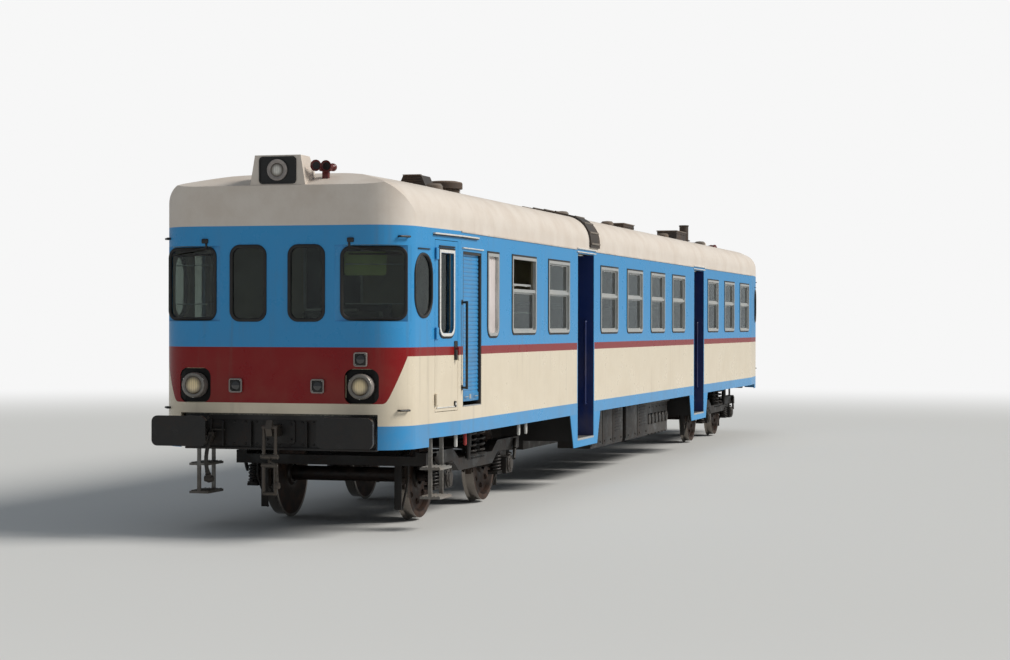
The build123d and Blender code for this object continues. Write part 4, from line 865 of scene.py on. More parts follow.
for end in MIRRORED_ENDS:
    lamps = [end @ place for place in headlamps]
    plates = [end @ place for place in markers]
    turned(
        rims,
        [(0.088, -0.004), (0.127, -0.004), (0.128, 0.010), (0.120, 0.022), (0.106, 0.026), (0.092, 0.016)],
        lamps
    )
    dish(lenses, 0.096, 0.018, [place @ at(0, 0, 0.008) for place in lamps], 6, 44)
    slab(wells, 0.118, 0.118, 0.003, plates, 0.018, 0.001)
    turned(
        wells, [(0.046, 0.002), (0.054, 0.002), (0.054, 0.009), (0.050, 0.011), (0.046, 0.008)], plates, 32
    )
    dish(dark_lenses, 0.047, 0.010, [place @ at(0, 0, 0.004) for place in plates])
    ring(cases, 0.142, 0.142, 0.024, 0.014, 0.012, plates, False, 0.004)
    corners = [at(side * 0.049, side * 0.049, 0.002) for side in (1, -1)]
    screws(screw_heads, 0.005, 0.004, [place @ corner for place in plates for corner in corners])
    lugs = [Matrix.Rotation(angle, 4, "Z") @ at(0.123, 0, 0.008) for angle in (0.5, 2.6, 4.7)]
    screws(screw_heads, 0.007, 0.012, [place @ lug for place in lamps for lug in lugs])
piece("lamp_rims", rims, rim_grey)
piece("headlamp_lenses", lenses, clear_lens, smooth=80)
piece("marker_cases", cases, lamp_grey)
piece("marker_wells", wells, black_enamel)
piece("marker_lenses", dark_lenses, dark_lens, smooth=80)
piece("lamp_screws", screw_heads, rim_chrome)

# Roof headlight
# A sheet steel housing on the dome holds a third headlamp in a black panel, screwed in from the front, with
# a rubber seal round it.

PANEL_X = 11.328
PANEL_LOW = RAIL + 3.50
PANEL_HIGH = RAIL + 3.785
HEADLIGHT_Z = RAIL + 3.645
panel_place = facing(PANEL_X, 0, (PANEL_LOW + PANEL_HIGH) / 2, (1, 0, 0))
headlight_place = facing(PANEL_X + 0.016, 0, HEADLIGHT_Z, (1, 0, 0))
panel = bmesh.new()
part = sheet_shape(0.38, PANEL_HIGH - PANEL_LOW - 0.03, 0.03)
raised(part, 0.003)
stamp(panel, part, [end @ panel_place for end in ENDS])
ring(
    panel, 0.40, PANEL_HIGH - PANEL_LOW - 0.01, 0.04, 0.018, 0.010, [end @ panel_place for end in ENDS],
    False, 0.003
)
piece("headlight_panel", panel, black_enamel)
rims = bmesh.new()
lenses = bmesh.new()
for end in ENDS:
    turned(
        rims,
        [(0.068, -0.002), (0.106, -0.014), (0.107, 0.006), (0.098, 0.014), (0.080, 0.010), (0.070, 0.004)],
        [end @ headlight_place]
    )
    dish(lenses, 0.071, 0.012, [end @ headlight_place], 6, 40)
piece("headlight_rims", rims, lamp_grey)
piece("headlight_lenses", lenses, high_lens, smooth=80)

# Crew doors
# A welded leaf hung on three lift-off hinges, opening outwards, with a black lock case and lever at its rear
# edge and a drop window in a rubber bead. A white drip strip is riveted to the body above it.

CREW_MIDDLE = 10.144
CREW_REAR = 9.829
CREW_WINDOW_LOW = RAIL + 1.978
CREW_WINDOW_HIGH = RAIL + 2.875
CREW_WINDOW_WIDTH = 0.415
CREW_FOOT = RAIL + 1.2


def flank(x, z, off=0.0):
    """A place on the cab's tapering left side, off it by a distance."""
    y = WALL_Y - TAPER * max(0.0, x - STRAIGHT_END)
    return facing(x, y, z, (TAPER, 1, 0)) @ at(0, 0, off)


white_enamel = drawn_metal("white_enamel", rgb(232, 231, 226), 0.45, (1, 1, 1), 0.2, 0.1)
for side, body in ((HERE, "crew_door_left"), (FLIP, "crew_door_right")):
    rubber = bmesh.new()
    metal = bmesh.new()
    middle_z = (CREW_WINDOW_LOW + CREW_WINDOW_HIGH) / 2
    high = CREW_WINDOW_HIGH - CREW_WINDOW_LOW
    window = side @ flank(CREW_MIDDLE, middle_z)
    ring(rubber, CREW_WINDOW_WIDTH + 0.044, high + 0.044, 0.132, 0.022, 0.005, [window], True, 0.002)
    ring(metal, CREW_WINDOW_WIDTH, high, 0.11, 0.032, 0.013, [window], True, 0.003)
    inner = side @ flank(CREW_MIDDLE, middle_z, 0.002)
    ring(rubber, CREW_WINDOW_WIDTH - 0.064, high - 0.064, 0.078, 0.010, 0.006, [inner], True, 0.002)
    slab(rubber, 0.42, 0.014, 0.014, [side @ flank(CREW_MIDDLE, CREW_WINDOW_HIGH + 0.035)], 0.0, 0.003)
    slab(rubber, 0.085, 0.20, 0.007, [side @ flank(CREW_REAR + 0.066, RAIL + 1.83)], 0.012)
    slab(rubber, 0.05, 0.06, 0.012, [side @ flank(CREW_REAR + 0.085, RAIL + 1.27)], 0.01)
    slab(metal, 0.56, 0.012, 0.010, [side @ flank(CREW_MIDDLE, CREW_FOOT + 0.045)], 0.0, 0.003)
    turned(
        metal, [(0, 0), (0.014, 0), (0.012, 0.004), (0.006, 0.005), (0.0, 0.005)],
        [side @ flank(CREW_REAR + 0.085, RAIL + 1.27, 0.012)], 20
    )
    for height in (1.33, 2.01, 2.83):
        bolts = [side @ flank(10.40, RAIL + height + rise, 0.004) for rise in (-0.035, 0.035)]
        screws(metal, 0.008, 0.005, bolts)
    piece(body + "_rubber", rubber, bead_rubber, body)
    piece(body + "_metal", metal, white_enamel, body)
strips = bmesh.new()
# Painted shadow: the black bar under each white drip strip stands for the shade the strip casts. A short
# black bar also sits over each pill window.
shadows_and_lips = bmesh.new()
for side in SIDES:
    slab(strips, 0.74, 0.016, 0.030, [side @ flank(CREW_MIDDLE, RAIL + 3.035)], 0.0, 0.004)
    slab(shadows_and_lips, 0.74, 0.010, 0.022, [side @ flank(CREW_MIDDLE, RAIL + 3.022)], 0.0, 0.003)
    block(strips, (9.15, WALL_Y - 0.002, RAIL + 3.027), (9.776, WALL_Y + 0.030, RAIL + 3.043), 0.004, [side])
    block(shadows_and_lips, (9.15, WALL_Y - 0.002, RAIL + 3.016), (9.776, WALL_Y + 0.022, RAIL + 3.027), 0.003, [side])
slab(shadows_and_lips, 0.30, 0.012, 0.014, [place @ flank(10.754, RAIL + 2.868) for place in CORNERS], 0.0, 0.003)
piece("door_drip_strips", strips, white_enamel)
piece("drip_shadows_and_lips", shadows_and_lips, black_enamel)

# Luggage shutters
# A roller curtain of interlocking steel laths in side channels, with a stiff bottom rail, a lifting handle
# and a lock. It isn't quite down. A pressed drip strip runs above it.

SHUTTER_FRONT = 9.675
SHUTTER_REAR = 8.98
SHUTTER_FOOT = RAIL + 1.229
SHUTTER_TOP = RAIL + 2.879
CURTAIN_FOOT = SHUTTER_FOOT + 0.072
CURTAIN_Y = WALL_Y - 0.045
LATHS = 36

shutter_paint = sprayed("shutter_paint", BLUE, 0.34, 0.35)
# The shutter channels are near black, partly painted shade: their darkness also stands for the shade along
# the edges of the recessed opening.
channel_steel_and_shade = sprayed("channel_steel_and_shade", rgb(34, 33, 33), 0.5, 0.45)
laths = bmesh.new()
rails = bmesh.new()
channels = bmesh.new()
fittings = bmesh.new()
curtain_high = SHUTTER_TOP - 0.004 - CURTAIN_FOOT
part = bmesh.new()
bmesh.ops.create_grid(part, x_segments=1, y_segments=LATHS * 6, size=0.5)
bmesh.ops.scale(part, vec=(SHUTTER_FRONT - SHUTTER_REAR - 0.008, curtain_high, 1), verts=part.verts)
raised(part, 0.006)
for vert in part.verts:
    share = (vert.co.y / curtain_high + 0.5) * LATHS % 1.0
    vert.co.z += 0.009 * math.sin(share * math.pi) ** 0.6
curtain_place = facing((SHUTTER_REAR + SHUTTER_FRONT) / 2, CURTAIN_Y, CURTAIN_FOOT + curtain_high / 2)
stamp(laths, part, [side @ curtain_place for side in SIDES])
piece("shutter_curtains", laths, shutter_paint, smooth=50, replaces=("luggage_shutters",))
for side in SIDES:
    block(
        rails, (SHUTTER_REAR + 0.012, CURTAIN_Y - 0.01, CURTAIN_FOOT - 0.02),
        (SHUTTER_FRONT - 0.012, CURTAIN_Y + 0.02, CURTAIN_FOOT + 0.07), 0.006, [side]
    )
    for x in (SHUTTER_REAR + 0.002, SHUTTER_FRONT - 0.024):
        block(
            channels, (x, CURTAIN_Y - 0.02, SHUTTER_FOOT + 0.002),
            (x + 0.022, WALL_Y - 0.002, SHUTTER_TOP - 0.002), 0.003, [side]
        )
    block(
        channels, (SHUTTER_REAR + 0.002, CURTAIN_Y - 0.02, SHUTTER_TOP - 0.03),
        (SHUTTER_FRONT - 0.002, WALL_Y - 0.004, SHUTTER_TOP - 0.002), 0.003, [side]
    )
    block(
        fittings, (SHUTTER_REAR + 0.02, WALL_Y - 0.056, SHUTTER_FOOT + 0.001),
        (SHUTTER_FRONT - 0.02, WALL_Y + 0.004, SHUTTER_FOOT + 0.010), 0.003, [side]
    )
    middle = (SHUTTER_REAR + SHUTTER_FRONT) / 2
    block(
        fittings, (middle - 0.03, CURTAIN_Y + 0.018, CURTAIN_FOOT + 0.005),
        (middle + 0.03, CURTAIN_Y + 0.026, CURTAIN_FOOT + 0.055), 0.004, [side]
    )
piece("shutter_bottom_rails", rails, shutter_paint)
piece("shutter_channels", channels, channel_steel_and_shade)
piece("shutter_fittings", fittings, frame_aluminium)
handles = []
for side in SIDES:
    for x in (9.15, 9.50):
        z = CURTAIN_FOOT + 0.03
        y = CURTAIN_Y + 0.018
        handles.append(
            placed(
                bent(
                    (
                        (x - 0.05, y, z), (x - 0.05, y + 0.022, z), (x + 0.05, y + 0.022, z),
                        (x + 0.05, y, z)
                    ),
                    0.012
                ),
                side
            )
        )
pipes("shutter_handles", handles, 0.004, frame_aluminium, sides=2)
strips = bmesh.new()
shutter_top = [
    side @ facing((SHUTTER_REAR + SHUTTER_FRONT) / 2, WALL_Y, SHUTTER_TOP + 0.035) for side in SIDES
]
slab(strips, 0.76, 0.012, 0.020, shutter_top, 0.0, 0.004)
piece("shutter_drip_strips", strips, white_enamel)

# Handrails
# Steel bars beside the crew doors, screwed to the side through small round feet.

rail_paint = sprayed("rail_paint", rgb(16, 26, 26), 0.3, 0.15)
wear(("handrails",), rail_paint)
feet = bmesh.new()
for side in SIDES:
    for height in (1.434, 2.336):
        turned(
            feet, [(0.0125, 0.0), (0.030, 0.0), (0.028, 0.005), (0.016, 0.009), (0.0125, 0.009)],
            [side @ facing(9.71, WALL_Y, RAIL + height)], 28
        )
piece("handrail_feet", feet, rail_paint)

# Passenger doors
# Folding leaves of pressed sheet with a tall pane in a rubber bead, a kicking plate at the foot, and a rubber
# buffer strip on the closing edge. Grab rails are on the inner faces, because the outer faces fold together.

ENTRANCES = (("1", 4.1), ("2", -4.1))
LEAF_OUT = 1.179
LEAF_IN = 1.145
LEAF_LOW = RAIL + 0.626
LEAF_HIGH = RAIL + 3.027
PANE_LOW = RAIL + 1.50
PANE_HIGH = RAIL + 2.85
STILE = 0.09


def holed(width, height, low, high, stile, depth, edge=0.003):
    """An upright panel from its lower middle, with a window between two heights."""
    part = bmesh.new()
    bmesh.ops.create_grid(part, x_segments=3, y_segments=3, size=0.5)
    for vert in part.verts:
        column = round((vert.co.x + 0.5) * 3)
        row = round((vert.co.y + 0.5) * 3)
        vert.co.x = (-width / 2, stile - width / 2, width / 2 - stile, width / 2)[column]
        vert.co.y = (0.0, low, high, height)[row]
    middle = []
    for face in part.faces:
        centre = face.calc_center_median()
        if abs(centre.x) < 0.01 and low < centre.y < high:
            middle.append(face)
    bmesh.ops.delete(part, geom=middle, context="FACES_ONLY")
    raised(part, depth)
    bmesh.ops.dissolve_limit(part, angle_limit=0.02, verts=part.verts, edges=part.edges)
    sharp = [item for item in part.edges if item.calc_face_angle(0) > 1.0]
    bmesh.ops.bevel(part, geom=sharp, offset=edge, segments=2, profile=0.5, affect="EDGES", material=-1)
    return part


# Painted shade: the door leaves take the shaded blue, the body blue darkened as it looks in the shade of the
# recess.
door_paint = sprayed("door_paint", SHADED_BLUE, 0.32, 0.4)
glass, tree, shader, place = finish("glass")
film = noise(tree, place, 2.6, 6.0, 0.7)
feed(shader, "Base Color", mix(tree, ramp(tree, film, 0.45, 0.8), rgb(150, 160, 154), rgb(134, 136, 128)))
feed(shader, "Roughness", calc(tree, "MULTIPLY", ramp(tree, film, 0.5, 0.85), 0.10))
shader.inputs["Transmission Weight"].default_value = 1.0
shader.inputs["IOR"].default_value = 1.45
wear(("window_glass", "crew_door_glass_left", "crew_door_glass_right"), glass)
screen_glass.data.materials.clear()
screen_glass.data.materials.append(glass)
for number, x in ENTRANCES:
    rear = x - 0.452
    for which, low_x, high_x in (("a", rear + 0.009, rear + 0.449), ("b", rear + 0.455, rear + 0.893)):
        middle = (low_x + high_x) / 2
        width = high_x - low_x
        for side, name in ((HERE, "left"), (FLIP, "right")):
            body = "door_" + name + "_" + number + "_leaf_" + which
            panel = bmesh.new()
            part = holed(
                width, LEAF_HIGH - LEAF_LOW, PANE_LOW - LEAF_LOW, PANE_HIGH - LEAF_LOW, STILE,
                LEAF_OUT - LEAF_IN
            )
            stamp(panel, part, [side @ facing(middle, LEAF_IN, LEAF_LOW)])
            if which == "a":
                turned(
                    panel, [(0, LEAF_LOW), (0.008, LEAF_LOW), (0.008, LEAF_HIGH), (0, LEAF_HIGH)],
                    [side @ at(rear + 0.014, LEAF_IN, 0)], 20
                )
            for z in (RAIL + 0.9, RAIL + 1.8, RAIL + 2.9) if which == "b" else ():
                turned(
                    panel, [(0, z - 0.06), (0.005, z - 0.06), (0.005, z + 0.06), (0, z + 0.06)],
                    [side @ at(rear + 0.452, LEAF_OUT + 0.008, 0)], 16
                )
                block(
                    panel, (rear + 0.453, LEAF_OUT - 0.001, z - 0.058),
                    (rear + 0.478, LEAF_OUT + 0.003, z + 0.058), 0.001, [side]
                )
            piece(body + "_panel", panel, door_paint, body, replaces=(body,))
            pane = bmesh.new()
            block(
                pane, (low_x + STILE - 0.012, LEAF_IN + 0.014, PANE_LOW - 0.012),
                (high_x - STILE + 0.012, LEAF_IN + 0.020, PANE_HIGH + 0.012), 0.001, [side]
            )
            piece(body + "_pane", pane, glass, body)
            rubber = bmesh.new()
            pane_place = facing(middle, LEAF_OUT - 0.006, (PANE_LOW + PANE_HIGH) / 2)
            inner_place = facing(middle, LEAF_IN + 0.006, (PANE_LOW + PANE_HIGH) / 2, (0, -1, 0))
            both_faces = [side @ pane_place, side @ inner_place]
            pane_high = PANE_HIGH - PANE_LOW + 0.004
            ring(rubber, width - 2 * STILE + 0.004, pane_high, 0.03, 0.016, 0.008, both_faces, False, 0.002)
            if which == "b":
                block(
                    rubber, (high_x - 0.002, LEAF_IN + 0.006, LEAF_LOW + 0.01),
                    (high_x + 0.005, LEAF_OUT - 0.006, LEAF_HIGH - 0.01), 0.003, [side]
                )
            piece(body + "_rubber", rubber, bead_rubber, body)
            metal = bmesh.new()
            slab(
                metal, width - 0.05, 0.16, 0.0015,
                [side @ facing(middle, LEAF_OUT - 0.0002, LEAF_LOW + 0.11)], 0.01, 0.0005
            )
            screw_places = [
                side @ facing(middle + shift, LEAF_OUT + 0.001, LEAF_LOW + rise)
                for shift in (-0.18, 0, 0.18) for rise in (0.045, 0.175)
            ]
            screws(metal, 0.006, 0.0015, screw_places)
            piece(body + "_kick_plate", metal, frame_aluminium, body)
            low = RAIL + 1.15
            grip = bent((
                (middle, LEAF_IN + 0.001, low), (middle, LEAF_IN - 0.034, low),
                (middle, LEAF_IN - 0.034, low + 0.30), (middle, LEAF_IN + 0.001, low + 0.30),
            ), 0.02)
            pipes(body + "_grab_rail", [placed(grip, side)], 0.009, rim_chrome, body)

# Entrances
# Recessed wells of folded sheet with two chequered treads, a bright nosing on each, a pole at both cheeks
# and a lamp over the steps. Two pressed gutters close the gap between the roof and each opening.

WELL_HALF = 0.48
SILL_Z = RAIL + 0.62
TREAD_Z = SILL_Z + 0.29
FLOOR_Z = RAIL + 1.2
ENTRANCE_TOP = RAIL + 3.033


def chequered(name, colour, roughness):
    """Raised tread plate: crossed lozenges worn bright on top, with dirt between."""
    material, tree, shader, place = finish(name)
    turned_place = add(tree, "ShaderNodeMapping", {"Vector": place, "Rotation": (0, 0, math.radians(45))})
    lozenges = add(tree, "ShaderNodeTexBrick", {
        "Vector": turned_place, "Color1": (1, 1, 1, 1), "Color2": (1, 1, 1, 1), "Mortar": (0, 0, 0, 1),
        "Scale": 1.0, "Mortar Size": 0.008, "Mortar Smooth": 0.6, "Brick Width": 0.032, "Row Height": 0.02,
    })
    wear_mask = noise(tree, place, 5.0, 6.0, 0.7)
    worn = calc(tree, "MULTIPLY", lozenges, ramp(tree, wear_mask, 0.35, 0.6))
    shade = mix(tree, worn, [c * 0.45 for c in colour[:3]] + [1.0], colour)
    feed(shader, "Base Color", mix(tree, ramp(tree, wear_mask, 0.55, 0.8), shade, rgb(92, 80, 66)))
    feed(shader, "Roughness", calc(tree, "SUBTRACT", roughness, calc(tree, "MULTIPLY", worn, 0.2)))
    feed(shader, "Metallic", calc(tree, "MULTIPLY", worn, 0.7))
    feed(shader, "Normal", bump(tree, lozenges, 0.6, 0.002))
    return material


tread_plate = chequered("tread_plate", rgb(128, 126, 122), 0.6)
# Painted shade: the wells are sprayed the shaded blue, as the recess looks in its own shade; faces hidden
# past the opening turn underseal black, and those on the skin take the body blue.
well_paint_and_shade = sprayed("well_paint_and_shade", SHADED_BLUE, 0.36, 0.3, 0.4, 2.2)
tree = well_paint_and_shade.node_tree
shader = tree.nodes["Principled BSDF"]
coat = shader.inputs["Base Color"].links[0].from_socket
axes = tree.nodes.new("ShaderNodeSeparateXYZ")
tree.links.new(add(tree, "ShaderNodeTexCoord", {}, "Object"), axes.inputs[0])
from_middle = calc(
    tree, "ABSOLUTE", calc(tree, "SUBTRACT", calc(tree, "ABSOLUTE", axes.outputs[0]), ENTRANCES[0][1])
)
beyond = ramp(tree, from_middle, WELL_HALF - 0.016, WELL_HALF - 0.013)
beneath = ramp(tree, axes.outputs[2], SILL_Z - 0.006, SILL_Z - 0.009)
behind = ramp(tree, calc(tree, "ABSOLUTE", axes.outputs[1]), 0.414, 0.411)
hidden = calc(tree, "MAXIMUM", calc(tree, "MAXIMUM", beyond, beneath), behind)
coat = mix(tree, hidden, coat, UNDERSEAL)
on_skin = ramp(tree, calc(tree, "ABSOLUTE", axes.outputs[1]), WALL_Y - 0.008, WALL_Y - 0.005)
feed(shader, "Base Color", mix(tree, on_skin, coat, BLUE))
wear(("entrance_wells",), well_paint_and_shade)
treads = bmesh.new()
nosings = bmesh.new()
lamp_glasses = bmesh.new()
poles = []
gutters = bmesh.new()
for number, x in ENTRANCES:
    low_x = x - WELL_HALF + 0.029
    high_x = x + WELL_HALF - 0.029
    for side in SIDES:
        block(treads, (low_x, 0.685, SILL_Z), (high_x, WALL_Y - 0.022, SILL_Z + 0.004), 0.0015, [side])
        block(treads, (low_x, 0.425, TREAD_Z), (high_x, 0.655, TREAD_Z + 0.004), 0.0015, [side])
        block(
            nosings, (low_x, WALL_Y - 0.03, SILL_Z - 0.018), (high_x, WALL_Y + 0.003, SILL_Z + 0.007),
            0.004, [side]
        )
        block(nosings, (low_x, 0.652, TREAD_Z - 0.022), (high_x, 0.683, TREAD_Z + 0.006), 0.004, [side])
        block(nosings, (low_x, 0.392, FLOOR_Z - 0.02), (high_x, 0.423, FLOOR_Z + 0.004), 0.004, [side])
        block(
            lamp_glasses, (x - 0.13, 1.28, ENTRANCE_TOP - 0.022), (x + 0.13, 1.37, ENTRANCE_TOP - 0.001),
            0.008, [side]
        )
        for wall_x, inward in ((low_x, 1), (high_x, -1)):
            grip_x = wall_x + inward * 0.055
            run = (
                (wall_x - inward * 0.001, 1.335, RAIL + 1.05), (grip_x, 1.335, RAIL + 1.05),
                (grip_x, 1.335, RAIL + 2.15), (wall_x - inward * 0.001, 1.335, RAIL + 2.15)
            )
            poles.append(placed(bent(run, 0.035), side))
        for rise, out in ((0.012, 0.016), (0.056, 0.022)):
            block(
                gutters, (x - 0.52, WALL_Y - 0.004, ENTRANCE_TOP + rise),
                (x + 0.52, WALL_Y + out, ENTRANCE_TOP + rise + 0.014), 0.004, [side]
            )
piece("step_treads", treads, tread_plate)
piece("step_nosings", nosings, frame_aluminium)
piece("step_lamps", lamp_glasses, lens_glass("frosted_lens", rgb(226, 224, 214), 0.35))
# The poles take the door leaves' shaded blue, painted shade that keeps them dark inside the recess.
pipes("entrance_grab_rails", poles, 0.014, door_paint)
piece("entrance_gutters", gutters, white_enamel)

# Roof
# Sheet with rain gutters along both cornices, an air scoop and a louvred ventilator towards the leading end,
# low extractor boxes, the exhaust stack with its cap, and a footboard band over one entrance.

SCOOP = (7.15, 7.50, 0.15, RAIL + 3.86)
VENTILATOR = (6.15, 0.12, RAIL + 3.85)
STACK = (-8.15, 0.40, RAIL + 4.0)
LADDER = (3.40, 3.92, 5.0, 0.373)
fitting_grey = sprayed("fitting_grey", rgb(118, 112, 104), 0.6, 0.7, 5.0, 2.5, 0.5, (120, 88, 64))
fitting_dark = sprayed("fitting_dark", rgb(46, 44, 43), 0.6, 0.6, 5.0, 2.5, 0.5, (110, 84, 62))
wear(("roof_fittings",), fitting_dark)
roof_trim = bmesh.new()
for side in SIDES:
    block(
        roof_trim, (-9.74, WALL_Y - 0.002, ROOF_LINE - 0.012), (-4.62, WALL_Y + 0.010, ROOF_LINE + 0.006),
        0.003, [side]
    )
    block(
        roof_trim, (-3.58, WALL_Y - 0.002, ROOF_LINE - 0.012), (3.58, WALL_Y + 0.010, ROOF_LINE + 0.006),
        0.003, [side]
    )
    block(
        roof_trim, (4.62, WALL_Y - 0.002, ROOF_LINE - 0.012), (9.74, WALL_Y + 0.010, ROOF_LINE + 0.006),
        0.003, [side]
    )
roof_gutter = sprayed("roof_gutter", ROOF_IVORY, 0.5, 0.5, 4.4, 2.6)
piece("roof_gutters", roof_trim, roof_gutter)
details = bmesh.new()
# Painted shade: the dark bars across the scoop's mouth and along the extractor boxes' slots stand for the
# shade inside these openings. The stack's cap and foot ring are dark metal.
dark = bmesh.new()
low_x, high_x, middle_y, top = SCOOP
for rise in (0.03, 0.06, 0.09, 0.12):
    block(
        dark, (high_x - 0.004, middle_y - 0.13 + rise * 0.2, RAIL + 3.70 + rise),
        (high_x + 0.014, middle_y + 0.13 - rise * 0.2, RAIL + 3.712 + rise), 0.004
    )
block(
    details, (high_x - 0.03, middle_y - 0.112, top - 0.004),
    (high_x + 0.022, middle_y + 0.112, top + 0.008), 0.004
)
x, y, top = VENTILATOR
for index in range(5):
    z = RAIL + 3.70 + index * 0.017
    turned(
        details, [(0.188, z), (0.204, z - 0.006), (0.204, z - 0.003), (0.188, z + 0.004)], [at(x, y, 0)], 36
    )
turned(
    details,
    [
        (0.0, top - 0.002), (0.225, top - 0.002), (0.222, top + 0.012), (0.16, top + 0.026),
        (0.0, top + 0.034)
    ],
    [at(x, y, 0)], 48
)
x, y, top = STACK
turned(
    dark,
    [(0.070, top - 0.03), (0.086, top - 0.03), (0.094, top - 0.018), (0.094, top - 0.002), (0.072, top)],
    [at(x, y, 0)], 36
)
dish(dark, 0.071, -0.002, [at(x, y, top)], 2, 30)
turned(
    dark, [(0.086, RAIL + 3.70), (0.118, RAIL + 3.70), (0.118, RAIL + 3.712), (0.086, RAIL + 3.725)],
    [at(x, y, 0)], 36
)
for x_span, y_span, top in (
    ((-3.3, -2.5), (0.12, 0.48), RAIL + 3.77), ((-7.5, -6.6), (0.2, 0.56), RAIL + 3.83)
):
    block(
        details, (x_span[0] - 0.012, y_span[0] - 0.012, top - 0.012),
        (x_span[1] + 0.012, y_span[1] + 0.012, top + 0.006), 0.004
    )
    slats = 6
    for index in range(slats):
        x = x_span[0] + 0.06 + index * (x_span[1] - x_span[0] - 0.12) / (slats - 1)
        block(
            dark, (x - 0.035, y_span[1] - 0.003, top - 0.06), (x + 0.035, y_span[1] + 0.010, top - 0.046),
            0.003
        )
for x in (7.9, 1.9, -1.0, -5.4, -9.0):
    for y in (-0.55, 0.55):
        turned(
            details,
            [
                (0.0, RAIL + 3.62), (0.10, RAIL + 3.62), (0.10, RAIL + 3.70), (0.075, RAIL + 3.725),
                (0.0, RAIL + 3.732)
            ],
            [at(x, y, 0)], 28
        )
low_x, high_x, crown, haunch = LADDER
rungs = []
for y in (0.22, 0.37, 0.52, 0.67, 0.82, 0.97):
    rise = math.sqrt(crown ** 2 - y ** 2)
    rungs.append(facing((low_x + high_x) / 2, y, ROOF_CENTRE_Z + rise, (0, y, rise)))
for angle in (1.15, 0.75, 0.35, -0.05):
    out = Vector((0, math.cos(angle), math.sin(angle)))
    rungs.append(facing((low_x + high_x) / 2, HAUNCH[0] + haunch * out.y, HAUNCH[1] + haunch * out.z, out))
slab(details, high_x - low_x - 0.04, 0.026, 0.014, rungs, 0.0, 0.004)
piece("roof_ventilators", details, fitting_grey)
piece("roof_vent_mouths", dark, fitting_dark)

# Horns
# Two spun trumpets on a bracket beside the roof headlight, sprayed dark red. A black disc in each shallow
# bell is painted shade standing for the deep throat.

horn_paint = sprayed("horn_paint", rgb(96, 12, 14), 0.3, 0.2, 5.0, 2.5)
trumpets = bmesh.new()
throat_shade = bmesh.new()
for end in MIRRORED_ENDS:
    for y, mouth in ((0.375, 11.24), (0.452, 11.16)):
        spot = end @ facing(mouth, y, RAIL + 3.69, (1, 0, 0))
        flare = [
            (0.0, -0.22), (0.036, -0.22), (0.040, -0.21), (0.040, -0.18), (0.030, -0.17), (0.019, -0.155),
            (0.021, -0.12), (0.027, -0.08), (0.036, -0.04), (0.050, -0.004), (0.058, 0.008), (0.053, 0.010),
            (0.040, -0.01), (0.0, -0.012)
        ]
        turned(trumpets, flare, [spot], 36)
        dish(throat_shade, 0.039, -0.001, [spot @ at(0, 0, -0.009)], 2, 30)
    block(trumpets, (11.03, 0.38, RAIL + 3.545), (11.09, 0.45, RAIL + 3.665), 0.012, [end])
    block(trumpets, (11.03, 0.35, RAIL + 3.645), (11.09, 0.475, RAIL + 3.67), 0.008, [end])
piece("horn_bells", trumpets, horn_paint, smooth=60, replaces=("horns",))
piece("horn_throat_shade", throat_shade, black_enamel)

# Buffers
# Sprung buffers bolted to the headstock: a cast case with four studs, a greased plunger and a forged head
# whose face is worn and greasy in the middle.

BUFFER_Y = 0.875
BUFFER_Z = RAIL + 1.04
HEADSTOCK_FACE = 11.26
BUFFER_FACE = 11.77


def grimy(name, colour, roughness, grease=0.3, rust=0.4, metallic=0.0):
    """Black running-gear paint under brown brake dust, with oily and rusty patches."""
    material, tree, shader, place = finish(name)
    blotches = noise(tree, place, 4.5, 8.0, 0.68)
    flecks = noise(tree, place, 38.0, 4.0, 0.7)
    rusty = calc(
        tree, "MULTIPLY",
        ramp(
            tree,
            calc(tree, "ADD", calc(tree, "MULTIPLY", blotches, 0.6), calc(tree, "MULTIPLY", flecks, 0.4)),
            0.5, 0.66
        ),
        rust
    )
    oily = calc(tree, "MULTIPLY", ramp(tree, blotches, 0.5, 0.36), grease)
    dusty = use(tree, dust, {"Place": place, "Amount": 0.22, "Low": 0.0, "High": 1.3})
    shade = mix(tree, rusty, colour, rgb(62, 38, 26))
    shade = mix(tree, dusty, shade, rgb(78, 64, 50))
    shade = mix(tree, oily, shade, rgb(10, 9, 9))
    feed(shader, "Base Color", shade)
    rough = calc(tree, "ADD", roughness, calc(tree, "MULTIPLY", rusty, 0.35))
    feed(shader, "Roughness", calc(tree, "SUBTRACT", rough, calc(tree, "MULTIPLY", oily, 0.4), clamp=True))
    if metallic:
        feed(shader, "Metallic", calc(tree, "MULTIPLY", calc(tree, "SUBTRACT", 1.0, rusty), metallic))
    rough_height = calc(tree, "ADD", blotches, calc(tree, "MULTIPLY", flecks, 0.5))
    feed(shader, "Normal", bump(tree, rough_height, 0.35, 0.004))
    return material


